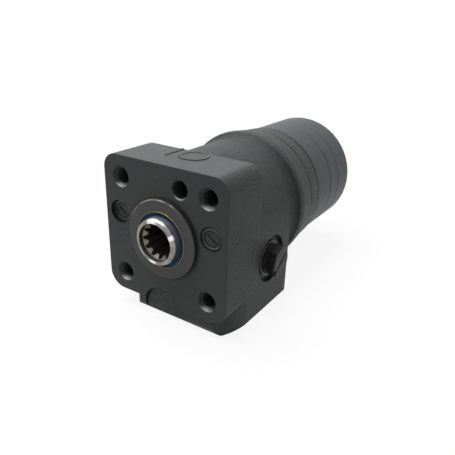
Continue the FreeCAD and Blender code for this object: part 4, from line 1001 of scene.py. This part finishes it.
@dataclass
class Threads:
    """Screw threads inside the tapped holes. Radius falls and rises once for each pitch of travel."""

    pitch: float = 1.5 * MM
    column_core: float = 4.22 * MM
    column_start: float = 2.9 * MM
    column_end: float = 19.5 * MM
    port_core: float = 8.17 * MM
    port_start: float = 50.9 * MM
    port_end: float = 37.8 * MM
    port_side: float = 14.0 * MM
    port_rows: Range = (22.0 * MM, 54.0 * MM)
    depth: float = 0.3 * MM
    segments: int = 40
    rows_per_pitch: int = 6

    def thread(self, axis: Axis, core: float, start: float, end: float) -> tuple[Array, bool]:
        """One thread: radius is the core less depth times a triangle wave of distance over pitch less turn.

        Args:
            axis: Axis of the hole.
            core: Radius of the hole.
            start: Where the thread starts along the axis.
            end: Where it ends.

        Returns:
            The grid of points, closed around.
        """
        rows = int((end - start) / self.pitch * self.rows_per_pitch)
        distance = np.linspace(start, end, rows)[:, None]
        angle = np.linspace(0, 2 * math.pi, self.segments, endpoint=False)[None, :]
        phase = (distance / self.pitch - angle / (2 * math.pi)) % 1.0
        wave = 1 - np.abs(2 * phase - 1)
        fade = np.clip((distance - start) / self.pitch, 0, 1)
        return axis.place(core - self.depth * wave * fade, -angle, distance), True

    def build(self, maker: Maker) -> None:
        """Makes the four column threads and the four port threads.

        Args:
            maker: Makes the pieces.
        """
        for number, (across, up) in enumerate(((1, 1), (-1, 1), (-1, -1), (1, -1)), 1):
            axis = Axis((COLUMN_HOLE_PLACE * across, 0.0, COLUMN_HOLE_PLACE * up))
            maker.piece(f"column_thread_{number}",
                        [self.thread(axis, self.column_core, self.column_start, self.column_end)],
                        "cast_paint", HOUSING_BODY)
        grids = [self.thread(Axis((self.port_side * across, row, -self.port_start), (0.0, 0.0, 1.0)),
                             self.port_core, 0.0, self.port_start - self.port_end)
                 for across in (-1, 1) for row in self.port_rows]
        maker.piece("port_threads", grids, "hardened_steel", HOUSING_BODY)


@dataclass
class CoverScrews:
    """Hexagon screws with bevelled heads and their washers; the special screw of the check valve is left out."""

    circle: float = 31.2 * MM
    flats: float = 12.0 * MM
    head_start: float = 170.8 * MM
    head_height: float = 4.2 * MM
    side_edge: float = 0.1 * MM
    bevel_share: float = 0.96
    bevel_angle: float = math.radians(30)
    crown_width: float = 0.3 * MM
    crown_height: float = 0.02 * MM
    shank_radius: float = 3.95 * MM
    shank_taper: float = 1.0 * MM
    thread_radius: float = 3.38 * MM
    thread_end: float = 99.2 * MM
    thread_start: float = 112.0 * MM
    tip_bevel: float = 0.6 * MM
    pole: float = 0.01 * MM
    washer_inner: float = 4.15 * MM
    washer_outer: float = 6.3 * MM
    washer_start: float = 170.0 * MM
    washer_thickness: float = 0.8 * MM
    washer_rounding: float = 0.2 * MM
    segments: int = 72

    def axis(self, angle: float) -> Axis:
        """Axis of the screw at this angle about the spool axis."""
        return Axis((self.circle * math.cos(angle), 0.0, self.circle * math.sin(angle)))

    def hexagon(self, angle: Array) -> Array:
        """Distance from the middle to a hexagon's side: half the flats over the cosine of the angle from the
        middle of that side."""
        sixth = math.pi / 3
        return self.flats / 2 / np.cos((angle % sixth) - sixth / 2)

    def screw(self, angle: float) -> tuple[Array, bool]:
        """One screw. Its rows run from the tip, up the shank, over the hexagon and its bevel to the middle.

        Args:
            angle: Its place on the circle.

        Returns:
            The grid of points, closed around.
        """
        turn = np.linspace(0, 2 * math.pi, self.segments, endpoint=False)
        hexagon = self.hexagon(turn)
        top = self.head_start + self.head_height
        circle = self.flats / 2 * self.bevel_share
        side_top = top - (hexagon - circle) * math.tan(self.bevel_angle)
        rows = [
            (self.pole, self.thread_end), (self.thread_radius - self.tip_bevel, self.thread_end),
            (self.thread_radius, self.thread_end + self.tip_bevel), (self.thread_radius, self.thread_start),
            (self.shank_radius, self.thread_start + self.shank_taper), (self.shank_radius, self.head_start),
            (hexagon, self.head_start), (hexagon, self.head_start + self.side_edge),
            (hexagon, side_top - self.side_edge), (hexagon - self.side_edge / 2, side_top), (circle, top),
            (circle - self.crown_width, top + self.crown_height), (self.pole, top)]
        radius, distance = (np.stack([np.broadcast_to(row[part], turn.shape) for row in rows])
                            for part in (0, 1))
        return self.axis(angle).place(radius, turn[None, :], distance), True

    def build(self, maker: Maker) -> None:
        """Makes the six plain screws as one piece, and the washers as another.

        Args:
            maker: Makes the pieces.
        """
        angles = [2 * math.pi * i / SCREWS for i in range(SCREWS)]
        plain = [self.screw(angle) for i, angle in enumerate(angles) if i != CHECK_SCREW_INDEX]
        maker.piece("bevelled_cover_screws", plain, "screw_paint", HOUSING_BODY, ("cover_screws",))
        end = self.washer_start + self.washer_thickness
        profile = Maker.rounded([
            (self.washer_inner, self.washer_start, 0), (self.washer_inner, end, self.washer_rounding),
            (self.washer_outer, end, self.washer_rounding),
            (self.washer_outer, self.washer_start, self.washer_rounding),
            (self.washer_inner, self.washer_start, 0)])
        washers = [Maker.turned(self.axis(angle), profile, 48) for angle in angles]
        maker.piece("rounded_washers", washers, "screw_paint", HOUSING_BODY, ("screw_washers",))


@dataclass
class CastingMarks:
    """What the moulds left: the thin ridge where the two halves met, along the casting's left side."""

    ridge_width: float = 1.4 * MM
    ridge_height: float = 0.32 * MM
    root: float = 0.05 * MM
    fade: float = 2.0 * MM
    runs: tuple[tuple[float, float, float, float], ...] = (
        (0.6 * MM, 30.5 * MM, 41.4 * MM, 41.4 * MM), (34.0 * MM, 69.5 * MM, 41.2 * MM, 41.2 * MM),
        (84.5 * MM, 97.5 * MM, 44.14 * MM, 42.45 * MM), (99.3 * MM, 112.5 * MM, 42.29 * MM, 41.24 * MM))
    rows: int = 60
    columns: int = 9

    def ridge(self, start: float, end: float, first: float, last: float) -> tuple[Array, bool]:
        """One straight ridge: across it, its height is that of a half cosine, and it fades at both ends.

        Args:
            start: Where it starts along the spool axis.
            end: Where it ends.
            first: How far the casting's side stands from the axis at its start.
            last: How far it stands at its end.

        Returns:
            The grid of points, open.
        """
        along = np.linspace(start, end, self.rows)[:, None]
        across = np.linspace(-1, 1, self.columns)[None, :]
        fade = np.clip(np.minimum(along - start, end - along) / self.fade, 0, 1)
        side = first + (last - first) * (along - start) / (end - start)
        out = side + self.ridge_height * np.cos(across * math.pi / 2) * fade - self.root
        along, up = np.broadcast_arrays(along, across * self.ridge_width / 2)
        return np.stack([-out, along, up], axis=-1), False

    def build(self, maker: Maker) -> None:
        """Makes the ridges of the block, the straight body and the two cones behind the shoulder."""
        maker.piece("parting_ridges", [self.ridge(*run) for run in self.runs], "cast_paint", HOUSING_BODY)


@dataclass
class Springs:
    """Compression springs with closed, flattened ends, in place of the plain coils."""

    front_wire: float = 0.45 * MM
    front_coil: float = 1.9 * MM
    front_turns: int = 7
    front_ends: dict[str, tuple[int, float]] = field(
        default_factory=lambda: {"left": (-1, 9.45 * MM), "right": (1, 8.05 * MM)})
    ball_end: float = 23.6 * MM
    relief_wire: float = 0.55 * MM
    relief_coil: float = 3.3 * MM
    relief_turns: int = 6
    relief_ends: Range = (24.4 * MM, 35.0 * MM)
    steps_per_turn: int = 36
    section_points: int = 10

    def coil(self, axis: Axis, radius: float, wire: float, start: float, end: float,
             turns: int) -> tuple[Array, bool]:
        """One spring: a circle of wire carried along a helix whose first and last turns lie flat.

        Args:
            axis: Axis of the spring.
            radius: Radius of the coil's middle line.
            wire: Radius of the wire.
            start: Where it starts along the axis.
            end: Where it ends.
            turns: How often it goes round.

        Returns:
            The grid of points, closed around the wire.
        """
        count = self.steps_per_turn * turns
        share = np.linspace(0, 1, count)
        closed = 1.0 / turns
        lift = np.clip((share - closed) / (1 - 2 * closed), 0, 1)
        run = start + wire + (end - start - 2 * wire) * (3 * lift ** 2 - 2 * lift ** 3)
        angle = 2 * math.pi * turns * share
        around = np.linspace(0, 2 * math.pi, self.section_points, endpoint=False)[None, :]
        grid = axis.place(radius + wire * np.cos(around), angle[:, None], run[:, None] + wire * np.sin(around))
        ends = [np.broadcast_to(grid[i].mean(axis=0), grid[i].shape)[None] for i in (0, -1)]
        return np.concatenate([ends[0], grid, ends[1]]), True

    def build(self, maker: Maker) -> None:
        """Makes the two front springs and the relief spring.

        Args:
            maker: Makes the pieces.
        """
        for name, (sign, start) in self.front_ends.items():
            side, height = VALVE_PLACE[0] * sign, VALVE_PLACE[1]
            coil = self.coil(Axis((side, 0.0, height)), self.front_coil, self.front_wire, start, self.ball_end,
                             self.front_turns)
            maker.piece(f"{name}_ground_spring", [coil], "hardened_steel", HOUSING_BODY,
                        (f"{name}_valve_spring",),
                        (f"{name}_ball", (side, start, height), (side, self.ball_end, height)))
        start, end = self.relief_ends
        axis = Axis((0.0, *BORE_PLACE), (1.0, 0.0, 0.0), (0.0, 1.0, 0.0))
        coil = self.coil(axis, self.relief_coil, self.relief_wire, start, end, self.relief_turns)
        maker.piece("relief_ground_spring", [coil], "hardened_steel", HOUSING_BODY, ("relief_spring",),
                    ("relief_poppet", (end, *BORE_PLACE), (start, *BORE_PLACE)))


@dataclass
class Studio:
    """Pale floor, even world light, one broad lamp overhead and the camera that shows the unit."""

    azimuth: float = math.radians(32.52)
    elevation: float = math.radians(23.57)
    roll: float = math.radians(-1.94)
    distance: float = 237.1 * MM
    target: Point = (40.9 * MM, 0.0, 17.5 * MM)
    focal_pixels: float = 490.4
    frame_pixels: float = 455.0
    sensor: float = 36.0
    floor_half: float = 1.5
    floor_colour: Colour = (0.75, 0.75, 0.75)
    floor_glow: float = 0.9
    shadow_reach: Range = (0.22, 0.45)
    world_light: float = 0.3
    lamp_power: float = 11.0
    lamp_size: float = 0.6
    lamp_place: Point = (-0.22, 0.02, 0.72)
    lamp_target: Point = (0.0, 0.08, 0.0)

    def camera(self) -> None:
        """Sets the camera from its azimuth, elevation, distance and small roll about the line of sight."""
        back = Vector((math.sin(self.azimuth) * math.cos(self.elevation),
                       -math.cos(self.azimuth) * math.cos(self.elevation), math.sin(self.elevation)))
        forward = -back
        level = forward.cross(Vector((0, 0, 1))).normalized()
        down = forward.cross(level)
        across = level * math.cos(self.roll) + down * math.sin(self.roll)
        up = level * math.sin(self.roll) - down * math.cos(self.roll)
        lens = bpy.data.cameras.new("photo_camera")
        lens.sensor_width = self.sensor
        lens.lens = self.focal_pixels / self.frame_pixels * self.sensor
        lens.clip_start = 0.01
        camera = bpy.data.objects.new("photo_camera", lens)
        turn = Matrix((across, up, back)).transposed().to_4x4()
        camera.matrix_world = Matrix.Translation(Vector(self.target) + back * self.distance) @ turn
        bpy.context.scene.collection.objects.link(camera)
        bpy.context.scene.camera = camera

    def floor(self, height: float) -> None:
        """Makes the floor, nearly white to the camera, with the object's shadow left on it.

        Args:
            height: Where it lies.
        """
        graph = Graph(bpy.data.materials.new("pale_floor"))
        pale = graph.node("ShaderNodeBsdfDiffuse", {}, {"Color": (*self.floor_colour, 1.0)})
        glow = graph.node("ShaderNodeEmission", {}, {"Color": WHITE, "Strength": 1.0})
        far = graph.distance(graph.axis("X"), graph.axis("Y")).ramp(*self.shadow_reach)
        share = graph.seen() * (self.floor_glow + far * (1 - self.floor_glow))
        graph.finish(graph.node("ShaderNodeMixShader", {}, {0: share, 1: pale, 2: glow}))
        edge = np.linspace(-self.floor_half, self.floor_half, 3)
        across, along = np.meshgrid(edge, edge)
        points = np.stack([across, along, np.full_like(across, height)], axis=-1)
        mesh = bpy.data.meshes.new("floor")
        mesh.from_pydata(points.reshape(-1, 3).tolist(), [], Maker.grid_faces(3, 3, False).tolist())
        mesh.materials.append(graph.owner)
        made = bpy.data.objects.new("floor", mesh)
        bpy.context.scene.collection.objects.link(made)
        made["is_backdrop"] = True

    def world(self) -> None:
        """White where it is seen or mirrored, and an even grey light elsewhere."""
        world = bpy.data.worlds.new("studio")
        graph = Graph(world)
        plain, white = (graph.node("ShaderNodeBackground", {}, {"Color": WHITE, "Strength": strength})
                        for strength in (self.world_light, 1.0))
        graph.finish(graph.node("ShaderNodeMixShader", {}, {0: graph.seen(), 1: plain, 2: white}),
                     "ShaderNodeOutputWorld")
        bpy.context.scene.world = world

    def lamp(self) -> None:
        """Hangs one broad square lamp over the unit, turned to its middle."""
        light = bpy.data.lights.new("overhead", "AREA")
        light.energy = self.lamp_power
        light.size = self.lamp_size
        made = bpy.data.objects.new("overhead", light)
        made.location = self.lamp_place
        sight = Vector(self.lamp_target) - Vector(self.lamp_place)
        made.rotation_euler = sight.to_track_quat("-Z", "Y").to_euler()
        bpy.context.scene.collection.objects.link(made)

    def build(self, floor_height: float) -> None:
        """Sets up the whole studio.

        Args:
            floor_height: Where the floor lies.
        """
        self.camera()
        self.floor(floor_height)
        self.world()
        self.lamp()
        bpy.context.scene.view_settings.view_transform = "Standard"


def main() -> None:
    """Dresses the model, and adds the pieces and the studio."""
    cad_box = [list(corner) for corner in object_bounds()]
    wardrobe = Wardrobe(FINISHES)
    wardrobe.dress_nodes(frame["record"], frame["nodes"])
    maker = Maker(wardrobe)
    for part in (SealPack(), Threads(), CoverScrews(), CastingMarks(), Springs()):
        part.build(maker)
    Studio().build(cad_box[0][2])


if __name__ == "__main__":
    main()
